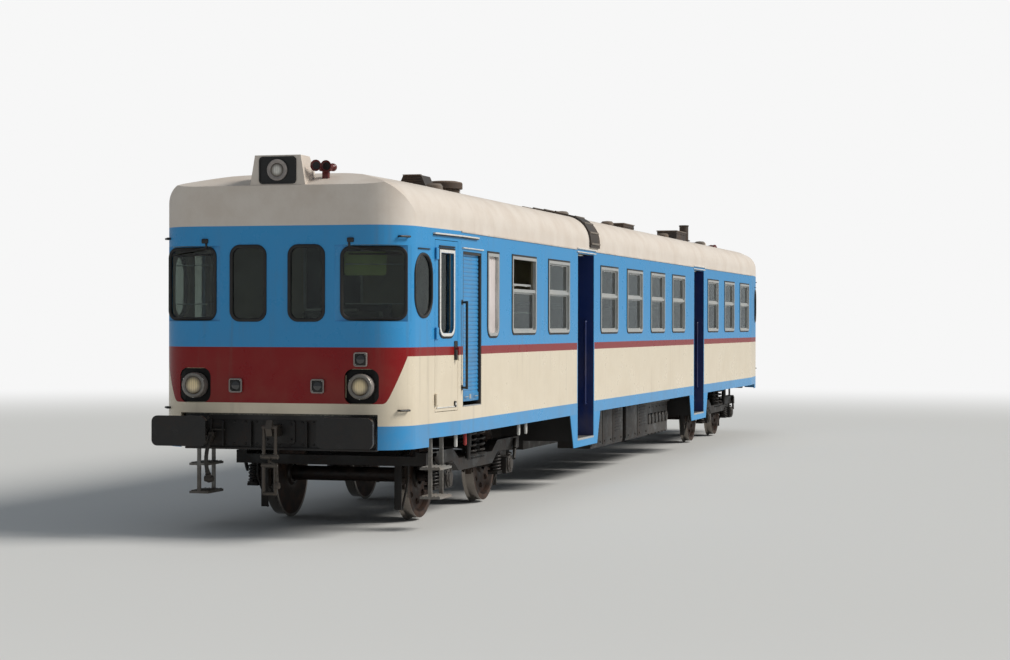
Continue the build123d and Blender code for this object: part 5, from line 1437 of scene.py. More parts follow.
frame_black = grimy("frame_black", rgb(16, 15, 15), 0.55)
buffer_black = grimy("buffer_black", rgb(15, 14, 14), 0.45, 0.6, 0.25)
worn_steel = grimy("worn_steel", rgb(86, 80, 74), 0.4, 0.5, 0.3, 0.7)
wear(("buffers",), buffer_black)
wear(("underframe", "bogie_pivots"), frame_black)
cases = bmesh.new()
studs = bmesh.new()
faces = bmesh.new()
for end in ENDS:
    for y in (BUFFER_Y, -BUFFER_Y):
        spot = end @ facing(HEADSTOCK_FACE, y, BUFFER_Z, (1, 0, 0))
        slab(cases, 0.30, 0.30, 0.026, [spot], 0.05, 0.005)
        turned(
            cases,
            [
                (0.09, 0.02), (0.128, 0.02), (0.108, 0.075), (0.100, 0.235), (0.112, 0.245), (0.112, 0.275),
                (0.082, 0.275)
            ],
            [spot], 44
        )
        turned(
            cases, [(0.07, 0.42), (0.084, 0.40), (0.118, 0.452), (0.118, 0.464), (0.07, 0.464)], [spot], 44
        )
        for shift_x in (-0.115, 0.115):
            for shift_z in (-0.115, 0.115):
                screws(studs, 0.017, 0.018, [spot @ at(shift_x, shift_z, 0.026)])
        dish(faces, 0.13, 0.0025, [end @ facing(BUFFER_FACE - 0.0030, y, BUFFER_Z, (1, 0, 0))], 3, 44)
piece("buffer_cases", cases, buffer_black)
piece("buffer_studs", studs, worn_steel)
piece("buffer_worn_faces", faces, worn_steel, smooth=80)

# Draw gear and headstocks
# A forged hook carries a screw coupling: two long shackles joined by a threaded bar with a weighted handle.
# The headstock has ribs, lifting lugs and rows of rivets.

HOOK_X = 11.50
wear(("draw_hooks",), worn_steel)
links = bmesh.new()
for end in ENDS:
    for y in (0.062, -0.062):
        for low, high, x in (
            (RAIL + 0.79, RAIL + 1.075, HOOK_X + 0.028), (RAIL + 0.42, RAIL + 0.70, HOOK_X + 0.03)
        ):
            turned(links, [(0.0, low), (0.017, low), (0.017, high), (0.0, high)], [end @ at(x, y, 0)], 16)
    for z, length, radius in (
        (RAIL + 1.075, 0.16, 0.019), (RAIL + 0.785, 0.19, 0.026), (RAIL + 0.70, 0.17, 0.024),
        (RAIL + 0.42, 0.15, 0.019)
    ):
        spot = end @ facing(HOOK_X + 0.029, -length / 2, z, (0, 1, 0))
        turned(
            links,
            [
                (0.0, 0.0), (radius * 0.8, 0.0), (radius, 0.006), (radius, length - 0.006),
                (radius * 0.8, length), (0.0, length)
            ],
            [spot], 20
        )
    screw = end @ at(HOOK_X + 0.029, 0, 0)
    thread = []
    for index in range(9):
        z = RAIL + 0.69 + index * 0.012
        thread += [(0.017, z), (0.021, z + 0.006)]
    turned(links, [(0.0, RAIL + 0.69), *thread, (0.0, RAIL + 0.80)], [screw], 18)
piece("screw_couplings", links, worn_steel, smooth=50)
levers = [
    placed(
        bent(
            (
                (HOOK_X + 0.03, 0.0, RAIL + 0.745), (HOOK_X + 0.055, 0.09, RAIL + 0.70),
                (HOOK_X + 0.055, 0.10, RAIL + 0.52)
            ),
            0.03
        ),
        end
    )
    for end in ENDS
]
pipes("coupling_levers", levers, 0.010, worn_steel)
weights = bmesh.new()
for end in ENDS:
    turned(
        weights, [(0.0, 0.0), (0.018, 0.0), (0.026, 0.012), (0.026, 0.05), (0.016, 0.064), (0.0, 0.064)],
        [end @ at(HOOK_X + 0.055, 0.10, RAIL + 0.47)], 24
    )
piece("coupling_weights", weights, worn_steel)
ribs = bmesh.new()
rivets = bmesh.new()
for end in ENDS:
    slab(ribs, 0.34, 0.24, 0.018, [end @ facing(HEADSTOCK_FACE, 0, RAIL + 1.02, (1, 0, 0))], 0.03, 0.004)
    for y in (-0.60, -0.30, 0.30, 0.60):
        block(
            ribs, (HEADSTOCK_FACE - 0.002, y - 0.008, RAIL + 0.87),
            (HEADSTOCK_FACE + 0.045, y + 0.008, RAIL + 1.12), 0.003, [end]
        )
    block(
        ribs, (HEADSTOCK_FACE - 0.10, -1.02, RAIL + 0.838), (HEADSTOCK_FACE + 0.03, 1.02, RAIL + 0.862),
        0.004, [end]
    )
    for index in range(17):
        y = -0.98 + index * 0.1225
        for z in (RAIL + 0.895, RAIL + 1.115):
            dish(rivets, 0.013, 0.009, [end @ facing(HEADSTOCK_FACE, y, z, (1, 0, 0))], 3, 14)
    for shift_y in (-0.13, 0.13):
        for shift_z in (-0.08, 0.08):
            screws(
                rivets, 0.014, 0.014,
                [end @ facing(HEADSTOCK_FACE + 0.018, shift_y, RAIL + 1.02 + shift_z, (1, 0, 0))]
            )
piece("headstock_ribs", ribs, frame_black)
piece("headstock_rivets", rivets, frame_black)

# Brake hoses
# Braided rubber hose, 40 mm thick and 0.36 m long, clamped on the cock's spout and on a forged coupling head,
# hanging free. The cock's lever is flat bar.

HOSE_X = 11.29
HOSE_Y = -0.72
HOSE_Z = RAIL + 0.98
HOSE_RUN = 0.06
hose_rubber = rubber_like("hose_rubber", rgb(26, 26, 26), 0.6)
forged_iron = grimy("forged_iron", rgb(58, 54, 50), 0.5, 0.3, 0.4, 0.3)
wear(("brake_fittings",), forged_iron)
route = [
    Vector((HOSE_X + 0.09 * math.cos(math.radians(45)), HOSE_Y, HOSE_Z - 0.09 * math.sin(math.radians(45))))
]
for index in range(6):
    slope = math.radians(45 + 15 * index)
    route.append(route[-1] + Vector((math.cos(slope), 0, -math.sin(slope))) * HOSE_RUN)
clamps = bmesh.new()
cock_levers = []
for end, name in ((HERE, "front"), (TURN, "rear")):
    line = bpy.data.curves.new("brake_hose_" + name, "CURVE")
    line.dimensions = "3D"
    line.bevel_depth = 0.02
    line.bevel_resolution = 5
    line.use_fill_caps = True
    spline = line.splines.new("NURBS")
    spline.points.add(len(route) - 1)
    for point, spot in zip(spline.points, placed(route, end)):
        point.co = (*spot, 1.0)
    spline.order_u = 3
    spline.use_endpoint_u = True
    spline.resolution_u = 8
    hose = dress(bpy.data.objects.new("free_hose_" + name, line), hose_rubber)
    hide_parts("brake_hose_" + name)
    for spot, ahead in ((route[0], route[1] - route[0]), (route[-1], route[-1] - route[-2])):
        sign = 1 if spot is route[0] else -1
        middle = spot + ahead.normalized() * 0.026 * sign
        turned(
            clamps, [(0.0195, -0.011), (0.024, -0.011), (0.025, 0.0), (0.024, 0.011), (0.0195, 0.011)],
            [end @ facing(*middle, out=ahead)], 24
        )
    head = route[-1] + Vector((math.cos(math.radians(120)), 0, -math.sin(math.radians(120)))) * 0.06
    turned(
        clamps,
        [(0.0, -0.045), (0.030, -0.045), (0.034, -0.03), (0.034, 0.03), (0.026, 0.045), (0.0, 0.045)],
        [end @ facing(*head, out=(0, 1, 0))], 28
    )
    cock_levers.append(
        placed(
            bent(
                (
                    (HOSE_X, HOSE_Y, HOSE_Z + 0.03), (HOSE_X, HOSE_Y, HOSE_Z + 0.055),
                    (HOSE_X, HOSE_Y + 0.14, HOSE_Z + 0.055)
                ),
                0.02
            ),
            end
        )
    )
piece("hose_clamps", clamps, forged_iron)
pipes("brake_cock_levers", cock_levers, 0.008, forged_iron)

# Crew steps and cock handles
# Two open treads on flat hangers under each crew door, galvanised and worn. Short isolating-cock handles,
# painted white and red, hang from the sole bar behind them.

step_steel = drawn_metal("step_steel", rgb(150, 148, 144), 0.5, (1, 1, 1), 0.5, 0.5)
wear(("crew_steps",), step_steel)
plates = bmesh.new()
for side in SIDES:
    for height in (0.3, 0.6):
        for index in range(5):
            y = 1.20 + index * 0.045
            block(
                plates, (9.955, y - 0.006, RAIL + height + 0.022),
                (10.333, y + 0.006, RAIL + height + 0.033), 0.002, [side]
            )
    for x in (9.954, 10.334):
        block(plates, (x - 0.0115, 1.262, RAIL + 1.06), (x + 0.0115, 1.318, RAIL + 1.135), 0.003, [side])
piece("crew_step_treads", plates, step_steel)
red_enamel = sprayed("red_enamel", rgb(186, 40, 42), 0.35, 0.3, 0.2, 1.4)
handle_white = bmesh.new()
handle_red = bmesh.new()
for side in SIDES:
    for mesh, x in ((handle_white, 9.62), (handle_red, 9.28), (handle_white, 7.1), (handle_white, 6.78)):
        spot = side @ at(x, 1.345, 0)
        turned(
            mesh,
            [
                (0.0, RAIL + 0.80), (0.013, RAIL + 0.80), (0.019, RAIL + 0.815), (0.019, RAIL + 0.95),
                (0.012, RAIL + 0.965), (0.012, RAIL + 1.05), (0.0, RAIL + 1.05)
            ],
            [spot], 16
        )
        block(mesh, (x - 0.02, 1.325, RAIL + 1.04), (x + 0.02, 1.365, RAIL + 1.14), 0.004, [side])
piece("cock_handles_white", handle_white, white_enamel)
piece("cock_handles_red", handle_red, red_enamel)

# Wheelsets
# Monobloc steel wheels pressed on forged axles. The tread and flange are polished by the rail, the web and
# the axle are rusty under a film of oil.

BOGIE_X = 7.97
AXLE_REACH = 1.225
AXLES = (
    ("1", BOGIE_X + AXLE_REACH), ("2", BOGIE_X - AXLE_REACH), ("3", AXLE_REACH - BOGIE_X),
    ("4", -BOGIE_X - AXLE_REACH)
)
AXLE_Z = 0.488
TREAD_RADIUS = 0.46
WHEEL_BACK = 0.6805
WHEEL_FRONT = 0.8155


def wheel_steel(name, axle_x):
    """Rusty steel whose running surface is bright, round one axle."""
    material, tree, shader, place = finish(name)
    centred = add(tree, "ShaderNodeMapping", {"Vector": place, "Location": (-axle_x, 0, -AXLE_Z)})
    flat = add(tree, "ShaderNodeVectorMath", {0: centred, 1: (1, 0, 1)}, operation="MULTIPLY")
    radius = add(tree, "ShaderNodeVectorMath", {0: flat}, "Value", operation="LENGTH")
    bright = ramp(tree, radius, TREAD_RADIUS - 0.006, TREAD_RADIUS - 0.002)
    blotches = noise(tree, centred, 7.0, 8.0, 0.7)
    rings = noise(tree, add(tree, "ShaderNodeCombineXYZ", {0: radius}), 60.0, 3.0)
    rust = mix(tree, ramp(tree, blotches, 0.35, 0.65), rgb(38, 29, 24), rgb(74, 50, 36))
    oily = calc(tree, "MULTIPLY", ramp(tree, radius, 0.24, 0.12), ramp(tree, blotches, 0.35, 0.6))
    rust = mix(tree, oily, rust, rgb(20, 17, 15))
    feed(shader, "Base Color", mix(tree, bright, rust, rgb(128, 122, 116)))
    rough = calc(tree, "SUBTRACT", 0.72, calc(tree, "MULTIPLY", bright, 0.46))
    feed(shader, "Roughness", calc(tree, "SUBTRACT", rough, calc(tree, "MULTIPLY", oily, 0.35)))
    feed(shader, "Metallic", calc(tree, "MULTIPLY", bright, 0.95))
    uneven = calc(tree, "ADD", calc(tree, "MULTIPLY", blotches, 0.8), calc(tree, "MULTIPLY", rings, 0.3))
    feed(shader, "Normal", bump(tree, uneven, 0.35, 0.003))
    return material


def cylinder_along(mesh, radius, start, end, places, around=24, edge=0.002):
    """A round bar between two points, its rims chamfered."""
    start = Vector(start)
    way = Vector(end) - start
    length = way.length
    outline = [
        (0.0, 0.0), (radius - edge, 0.0), (radius, edge), (radius, length - edge), (radius - edge, length),
        (0.0, length)
    ]
    lie = way.to_track_quat("Z", "Y").to_matrix().to_4x4()
    turned(mesh, outline, [place @ Matrix.Translation(start) @ lie for place in places], around)


for number, x in AXLES:
    steel = wheel_steel("wheel_steel_" + number, x)
    wear(("wheelset_" + number,), steel)
    hubs = bmesh.new()
    for side in SIDES:
        spot = side @ facing(x, 0, AXLE_Z)
        turned(
            hubs,
            [
                (0.097, WHEEL_FRONT - 0.046), (0.135, WHEEL_FRONT - 0.046), (0.130, WHEEL_FRONT - 0.020),
                (0.112, WHEEL_FRONT - 0.010), (0.097, WHEEL_FRONT - 0.010)
            ],
            [spot], 40
        )
        turned(
            hubs,
            [
                (0.097, WHEEL_BACK + 0.001), (0.140, WHEEL_BACK + 0.001), (0.128, WHEEL_BACK - 0.022),
                (0.112, WHEEL_BACK - 0.030), (0.097, WHEEL_BACK - 0.030)
            ],
            [spot], 40
        )
        turned(
            hubs,
            [
                (0.362, WHEEL_FRONT - 0.055), (0.392, WHEEL_FRONT - 0.028), (0.396, WHEEL_FRONT + 0.001),
                (0.404, WHEEL_FRONT + 0.003), (0.450, WHEEL_FRONT + 0.003), (0.456, WHEEL_FRONT - 0.002)
            ],
            [spot], 72
        )
        for index in range(8):
            angle = index * math.tau / 8
            hole = spot @ at(0.285 * math.cos(angle), 0.285 * math.sin(angle), WHEEL_FRONT - 0.034)
            turned(hubs, [(0.024, -0.012), (0.033, -0.012), (0.031, 0.006), (0.024, 0.006)], [hole], 18)
    piece("wheel_hubs_" + number, hubs, steel, "axle_" + number)

# Bogies
# Pressed and welded frames with cranked side beams. Each axle box hangs in two coil springs, and the body
# rests on two nests of springs at each side, with a hydraulic damper beside them.

BOGIES = (("front", HERE), ("rear", TURN))
BEAM_TOP = RAIL + 0.74
BEAM_UNDER = RAIL + 0.60
BEAM_DROP_TOP = RAIL + 0.62
WING_TOP = AXLE_Z - 0.10
BOX_OUT = 1.13
BEAM_OUT = 1.08
BEAM_IN = 0.96
bogie_black = grimy("bogie_black", rgb(17, 16, 15), 0.6, 0.45, 0.45)
spring_steel = grimy("spring_steel", rgb(28, 25, 23), 0.45, 0.4, 0.35, 0.2)
brake_iron = grimy("brake_iron", rgb(46, 36, 29), 0.7, 0.1, 0.7)
wear(
    ("bogie_frame_front", "bogie_frame_rear", "bogie_axle_boxes_front", "bogie_axle_boxes_rear"),
    bogie_black
)


def coil(mesh, radius, wire, low, high, turns, places, around=16):
    """A coil spring standing on its own z, spun from its wire's section."""
    part = bmesh.new()
    lie = at(radius, 0, low + wire) @ Matrix.Rotation(math.pi / 2, 4, "X")
    bmesh.ops.create_circle(part, segments=8, radius=wire, matrix=lie)
    steps = round(turns * around)
    rise = (high - low - 2 * wire) / steps
    bmesh.ops.spin(
        part, geom=part.edges[:], cent=(0, 0, 0), axis=(0, 0, 1), dvec=(0, 0, rise), angle=turns * math.tau,
        steps=steps
    )
    bmesh.ops.remove_doubles(part, verts=part.verts, dist=1e-5)
    bmesh.ops.holes_fill(part, edges=part.edges, sides=8)
    bmesh.ops.recalc_face_normals(part, faces=part.faces)
    stamp(mesh, part, places)


for name, end in BOGIES:
    body = "bogie_" + name
    springs = bmesh.new()
    plates = bmesh.new()
    covers = bmesh.new()
    brakes = bmesh.new()
    pipe_runs = []
    for side in SIDES:
        for axle in (AXLE_REACH, -AXLE_REACH):
            x = BOGIE_X + axle
            outward = 1 if axle > 0 else -1
            for offset in (-0.24, 0.24):
                post = end @ side @ at(x + offset, (BEAM_IN + BEAM_OUT) / 2, 0)
                coil(springs, 0.066, 0.0125, WING_TOP + 0.012, BEAM_UNDER - 0.012, 5.0, [post])
                turned(
                    plates,
                    [
                        (0.046, WING_TOP), (0.086, WING_TOP), (0.086, WING_TOP + 0.012),
                        (0.046, WING_TOP + 0.012)
                    ],
                    [post], 28
                )
                turned(
                    plates,
                    [
                        (0.046, BEAM_UNDER - 0.012), (0.088, BEAM_UNDER - 0.012), (0.088, BEAM_UNDER),
                        (0.046, BEAM_UNDER)
                    ],
                    [post], 28
                )
            hub = end @ side @ facing(x, BOX_OUT, AXLE_Z - 0.02)
            turned(
                covers,
                [
                    (0.0, -0.001), (0.098, -0.001), (0.100, 0.012), (0.088, 0.020), (0.070, 0.024),
                    (0.064, 0.034), (0.0, 0.038)
                ],
                [hub], 40
            )
            for index in range(6):
                angle = index * math.tau / 6 + 0.3
                screws(
                    covers, 0.010, 0.010,
                    [hub @ at(0.082 * math.cos(angle), 0.082 * math.sin(angle), 0.018)]
                )
            block(
                plates, (x - 0.12, BOX_OUT - 0.001, AXLE_Z + 0.055),
                (x + 0.12, BOX_OUT + 0.012, AXLE_Z + 0.068), 0.003, [end @ side]
            )
            block(
                plates, (x - 0.135, 0.985, AXLE_Z + 0.068), (x + 0.135, 1.055, BEAM_UNDER - 0.004), 0.006,
                [end @ side]
            )
            top = (x + outward * 0.40, 1.10, BEAM_TOP - 0.03)
            foot = (x + outward * 0.16, 1.145, AXLE_Z + 0.03)
            low_end = Vector(foot) + (Vector(top) - Vector(foot)) * 0.5
            cylinder_along(plates, 0.020, foot, low_end, [end @ side])
            cylinder_along(plates, 0.030, low_end, top, [end @ side])
            for away in (1, -1):
                reach = TREAD_RADIUS + 0.012
                for angle in (-0.16, 0.0, 0.16):
                    spot_x = x + away * (reach + 0.022) * math.cos(angle)
                    spot_z = AXLE_Z + (reach + 0.022) * math.sin(angle)
                    block(
                        brakes, (spot_x - 0.021, 0.735, spot_z - 0.041),
                        (spot_x + 0.021, 0.805, spot_z + 0.041), 0.006, [end @ side]
                    )
                head_x = x + away * (reach + 0.058)
                block(
                    brakes, (head_x - 0.022, 0.75, AXLE_Z - 0.07), (head_x + 0.022, 0.79, AXLE_Z + 0.06),
                    0.006, [end @ side]
                )
                if abs(head_x - BOGIE_X) > 0.9:
                    hang_top = min(BEAM_TOP - 0.06, BEAM_UNDER + 0.02)
                else:
                    hang_top = BEAM_DROP_TOP - 0.03
                block(
                    brakes, (head_x - 0.010, 0.815, AXLE_Z - 0.06), (head_x + 0.010, 0.845, hang_top),
                    0.004, [end @ side]
                )
                cylinder_along(brakes, 0.014, (head_x, 0.745, AXLE_Z), (head_x, 0.85, AXLE_Z), [end @ side])
                cylinder_along(
                    brakes, 0.018, (head_x, 0.83, hang_top), (head_x, 0.962, hang_top), [end @ side]
                )
        for offset in (-0.17, 0.17):
            nest = end @ side @ at(BOGIE_X + offset, 1.02, 0)
            coil(springs, 0.098, 0.017, BEAM_DROP_TOP + 0.022, RAIL + 0.975, 4.5, [nest], 18)
            turned(
                plates,
                [
                    (0.0, BEAM_DROP_TOP), (0.130, BEAM_DROP_TOP), (0.130, BEAM_DROP_TOP + 0.022),
                    (0.0, BEAM_DROP_TOP + 0.022)
                ],
                [nest], 32
            )
            cylinder_along(plates, 0.050, (0, 0, BEAM_DROP_TOP + 0.02), (0, 0, RAIL + 0.90), [nest])
        block(
            plates, (BOGIE_X - 0.32, 0.90, RAIL + 0.975), (BOGIE_X + 0.32, 1.14, RAIL + 0.995), 0.005,
            [end @ side]
        )
        cylinder_along(
            plates, 0.030, (BOGIE_X + 0.46, 1.12, BEAM_DROP_TOP - 0.02),
            (BOGIE_X + 0.46, 1.12, RAIL + 0.80), [end @ side]
        )
        cylinder_along(
            plates, 0.040, (BOGIE_X + 0.46, 1.12, RAIL + 0.74), (BOGIE_X + 0.46, 1.12, RAIL + 0.96),
            [end @ side]
        )
        for index in range(9):
            screw_x = BOGIE_X - 0.32 + index * 0.08
            screws(plates, 0.011, 0.008, [end @ side @ facing(screw_x, BEAM_OUT, RAIL + 0.585)])
        cylinder_along(
            plates, 0.075, (BOGIE_X + 0.22, 0.55, RAIL + 0.70), (BOGIE_X + 0.46, 0.55, RAIL + 0.70),
            [end @ side], 32, 0.008
        )
        for tail in (1, -1):
            guard_x = BOGIE_X + tail * (AXLE_REACH + 0.60)
            block(
                plates, (guard_x - 0.012, 0.72, RAIL + 0.13), (guard_x + 0.012, 0.80, BEAM_UNDER + 0.02),
                0.005, [end @ side]
            )
            pipe_runs.append(
                placed(
                    bent(
                        (
                            (guard_x - tail * 0.04, 0.86, BEAM_TOP - 0.02),
                            (guard_x - tail * 0.04, 0.86, RAIL + 0.45),
                            (guard_x - tail * 0.11, 0.765, RAIL + 0.12)
                        ),
                        0.05
                    ),
                    end @ side
                )
            )
        run = (
            (BOGIE_X - 1.75, 0.945, BEAM_TOP - 0.05), (BOGIE_X - 0.85, 0.945, BEAM_TOP - 0.05),
            (BOGIE_X - 0.6, 0.945, BEAM_DROP_TOP - 0.03), (BOGIE_X + 0.6, 0.945, BEAM_DROP_TOP - 0.03),
            (BOGIE_X + 0.85, 0.945, BEAM_TOP - 0.05), (BOGIE_X + 1.75, 0.945, BEAM_TOP - 0.05)
        )
        pipe_runs.append(placed(bent(run, 0.05), end @ side))
    piece(body + "_coil_springs", springs, spring_steel, body, 60)
    piece(body + "_spring_plates", plates, bogie_black, body)
    piece(body + "_axle_box_covers", covers, forged_iron, body)
    piece(body + "_brakes", brakes, brake_iron, body)
    pipes(body + "_pipes", pipe_runs, 0.013, bogie_black, body, 2)

# Underfloor machinery
# Horizontal engines, batteries and air equipment hang between the bogies. Their steel cases have louvred and
# hinged doors, and pipes run along the sole bars in clips.

CASE_OUT = 1.22
CASE_LOW = RAIL + 0.40
CASE_TOP = 1.038
engine_iron = grimy("engine_iron", rgb(60, 58, 56), 0.55, 0.6, 0.35, 0.2)
wear(("engines",), engine_iron)
wear(("equipment_boxes", "air_reservoirs"), frame_black)
doors = bmesh.new()
slots = bmesh.new()
iron = bmesh.new()
pipe_runs = []
for place in ENDS:
    for low_x, high_x in ((0.9, 2.9), (-0.9, 0.7)):
        count = 3 if high_x > 2 else 2
        width = (high_x - low_x) / count
        for index in range(count):
            door_x = low_x + (index + 0.5) * width
            middle_z = (CASE_LOW + CASE_TOP) / 2
            slab(
                doors, width - 0.04, CASE_TOP - CASE_LOW - 0.05, 0.010,
                [place @ facing(door_x, CASE_OUT, middle_z)], 0.015, 0.003
            )
            for shift in (-0.3, 0.3):
                block(
                    doors, (door_x + shift * width - 0.03, CASE_OUT + 0.008, CASE_TOP - 0.055),
                    (door_x + shift * width + 0.03, CASE_OUT + 0.020, CASE_TOP - 0.03), 0.004, [place]
                )
                turned(
                    doors, [(0.0, 0.0), (0.016, 0.0), (0.014, 0.010), (0.0, 0.012)],
                    [place @ facing(door_x + shift * width, CASE_OUT + 0.010, CASE_LOW + 0.07)], 20
                )
            if index != 1:
                for row in range(8):
                    z = CASE_LOW + 0.17 + row * 0.045
                    block(
                        slots, (door_x - 0.2 * width / 0.66, CASE_OUT + 0.006, z),
                        (door_x + 0.2 * width / 0.66, CASE_OUT + 0.018, z + 0.018), 0.005, [place]
                    )
    for index in range(7):
        x = 1.25 + index * 0.27
        cylinder_along(iron, 0.085, (x, -1.06, RAIL + 0.62), (x, -1.135, RAIL + 0.62), [place], 28, 0.01)
        block(iron, (x - 0.012, -1.12, RAIL + 0.37), (x + 0.012, 0.26, RAIL + 0.39), 0.004, [place])
        screws(iron, 0.012, 0.01, [place @ facing(x + 0.1, -1.10, RAIL + 0.80, (0, -1, 0))])
    block(iron, (1.16, -1.16, RAIL + 0.86), (2.98, -1.10, RAIL + 0.95), 0.02, [place], 3)
    cylinder_along(iron, 0.11, (1.10, -0.35, RAIL + 0.60), (1.02, -0.35, RAIL + 0.60), [place], 36, 0.01)
    cylinder_along(iron, 0.05, (1.10, -0.75, RAIL + 0.72), (1.02, -0.75, RAIL + 0.72), [place], 28, 0.006)
    for y, z, radius in (
        (1.375, RAIL + 1.05, 0.017), (1.375, RAIL + 1.10, 0.012), (-1.375, RAIL + 1.07, 0.017)
    ):
        pipe_runs.append(placed(((3.5, y, z), (0.0, y, z), (-3.5, y, z)), place))
    for tail_x in (5.0, 9.6):
        pipe_runs.append(
            placed(
                (
                    (tail_x, 0.12, RAIL + 0.98), (tail_x - 1.5, 0.12, RAIL + 0.98),
                    (tail_x - 3.0, 0.12, RAIL + 0.98)
                ),
                place
            )
        )
for y in (0.42, -0.42):
    cylinder_along(iron, 0.176, (0.0, y - 0.02, RAIL + 0.70), (0.0, y + 0.02, RAIL + 0.70), [HERE], 40, 0.003)
for side in SIDES:
    turned(
        iron, [(0.0, 0.648), (0.10, 0.648), (0.165, 0.650), (0.171, 0.655), (0.171, 0.662), (0.0, 0.70)],
        [side @ facing(0, 0, RAIL + 0.70)], 40
    )
piece("equipment_doors", doors, frame_black)
piece("equipment_louvres", slots, frame_black)
piece("engine_details", iron, engine_iron)
pipes("sole_bar_pipes", pipe_runs, 0.016, forged_iron, sides=2)

# Interior lining and floor
# Partitions of plywood faced with cream laminate, with aluminium jambs round each passage and a fixed pane in
# each cab wall. The floor is speckled sheet covering, worn along the gangway, over a sealed underside.

GANGWAY = 0.33
PASSAGE_TOP = FLOOR_Z + 1.95
CAB_WALL_X = 9.715
lining, tree, shader, place = finish("lining")
weave = noise(tree, place, 160.0, 3.0)
fade = noise(tree, place, 1.1, 4.0)
height = add(tree, "ShaderNodeSeparateXYZ", {0: place}, 2)
upper = ramp(tree, height, FLOOR_Z + 0.896, FLOOR_Z + 0.904)
shade = mix(tree, upper, rgb(122, 116, 92), LINING)
shade = mix(tree, calc(tree, "MULTIPLY", ramp(tree, weave, 0.35, 0.7), 0.35), shade, rgb(168, 150, 118))
shade = mix(tree, calc(tree, "MULTIPLY", ramp(tree, fade, 0.5, 0.8), 0.3), shade, rgb(150, 132, 102))
feed(shader, "Base Color", shade)
feed(shader, "Roughness", calc(tree, "ADD", calc(tree, "MULTIPLY", fade, 0.2), 0.36))
feed(shader, "Normal", bump(tree, weave, 0.08, 0.001))

floor_cover, tree, shader, place = finish("floor_cover")
axes = tree.nodes.new("ShaderNodeSeparateXYZ")
tree.links.new(place, axes.inputs[0])
specks = add(tree, "ShaderNodeTexVoronoi", {"Vector": place, "Scale": 110.0}, "Color")
speck = add(tree, "ShaderNodeSeparateColor", {0: specks}, 0)
scuffs = noise(tree, place, 3.5, 8.0, 0.72)
shade = mix(tree, ramp(tree, speck, 0.72, 0.8), rgb(64, 66, 64), rgb(112, 110, 102))
gangway = ramp(tree, calc(tree, "ABSOLUTE", axes.outputs[1]), 0.42, 0.22)
worn = calc(
    tree, "MULTIPLY", ramp(tree, scuffs, 0.42, 0.7),
    calc(tree, "ADD", calc(tree, "MULTIPLY", gangway, 0.5), 0.25)
)
shade = mix(tree, worn, shade, rgb(120, 110, 94))
below = ramp(tree, axes.outputs[2], FLOOR_Z - 0.012, FLOOR_Z - 0.016)
feed(shader, "Base Color", mix(tree, below, shade, rgb(30, 28, 27)))
feed(shader, "Roughness", calc(tree, "ADD", calc(tree, "MULTIPLY", worn, 0.35), 0.38))
feed(shader, "Normal", bump(tree, scuffs, 0.1, 0.002))
wear(("partitions",), lining)
wear(("floor",), floor_cover)

jambs = bmesh.new()
panes = bmesh.new()
for x in (8.85, 8.04, 4.64, 3.56, -3.56, -4.64):
    for side in SIDES:
        block(
            jambs, (x - 0.022, GANGWAY - 0.012, FLOOR_Z + 0.001),
            (x + 0.022, GANGWAY + 0.022, PASSAGE_TOP + 0.02), 0.004, [side]
        )
    block(jambs, (x - 0.022, -GANGWAY, PASSAGE_TOP - 0.012), (x + 0.022, GANGWAY, PASSAGE_TOP + 0.02), 0.004)
for end in ENDS:
    middle = FLOOR_Z + 1.45
    ring(
        jambs, 0.68, 0.82, 0.04, 0.03, 0.046, [end @ facing(CAB_WALL_X - 0.023, 0, middle, (1, 0, 0))],
        False, 0.003
    )
    block(
        panes, (CAB_WALL_X - 0.003, -0.326, FLOOR_Z + 1.054), (CAB_WALL_X + 0.003, 0.326, FLOOR_Z + 1.846),
        0.001, [end]
    )
piece("partition_jambs", jambs, frame_aluminium)
piece("cab_wall_panes", panes, glass)
screens = bmesh.new()
for side in SIDES:
    slab(
        screens, NARROW_WIDTH - 0.06, WINDOW_HIGH - NARROW_LOW - 0.06, 0.003,
        [side @ facing(NARROW_MIDDLE, WALL_Y - 0.0285, (NARROW_LOW + WINDOW_HIGH) / 2)], 0.075, 0.001
    )
piece(
    "frosted_screens", screens, sprayed("frosted_acrylic", rgb(226, 216, 214), 0.4, 0.25, 1.0, 4.0, 0.3),
)

# Bench seats
# Facing benches for two: a sheet pedestal and front leg, a laminate back board with a tubular grab rail, and
# foam cushions in brown leatherette with welted edges and one sewn channel between the places.

SEAT_MIDDLE = 0.852
BAY = 0.79
VOXEL = 0.022
BACK_VOXEL = 0.025


def quilted(name, colour, roughness=0.42):
    """Leatherette: a fine pebbled grain, soft creases and shine where it's been sat on."""
    material, tree, shader, place = finish(name)
    pebbles = add(tree, "ShaderNodeTexVoronoi", {"Vector": place, "Scale": 520.0})
    creases = noise(tree, place, 22.0, 6.0, 0.62)
    rubbed = noise(tree, place, 3.0, 4.0)
    shade = mix(tree, ramp(tree, rubbed, 0.4, 0.7), colour, [c * 1.45 + 0.004 for c in colour[:3]] + [1.0])
    shade = mix(
        tree, calc(tree, "MULTIPLY", ramp(tree, creases, 0.58, 0.75), 0.5), shade,
        [c * 0.5 for c in colour[:3]] + [1.0]
    )
    feed(shader, "Base Color", shade)
    feed(shader, "Roughness", calc(tree, "SUBTRACT", roughness + 0.12, calc(tree, "MULTIPLY", rubbed, 0.25)))
    grain = calc(tree, "ADD", calc(tree, "MULTIPLY", pebbles, 0.4), creases)
    feed(shader, "Normal", bump(tree, grain, 0.3, 0.003))
    return material


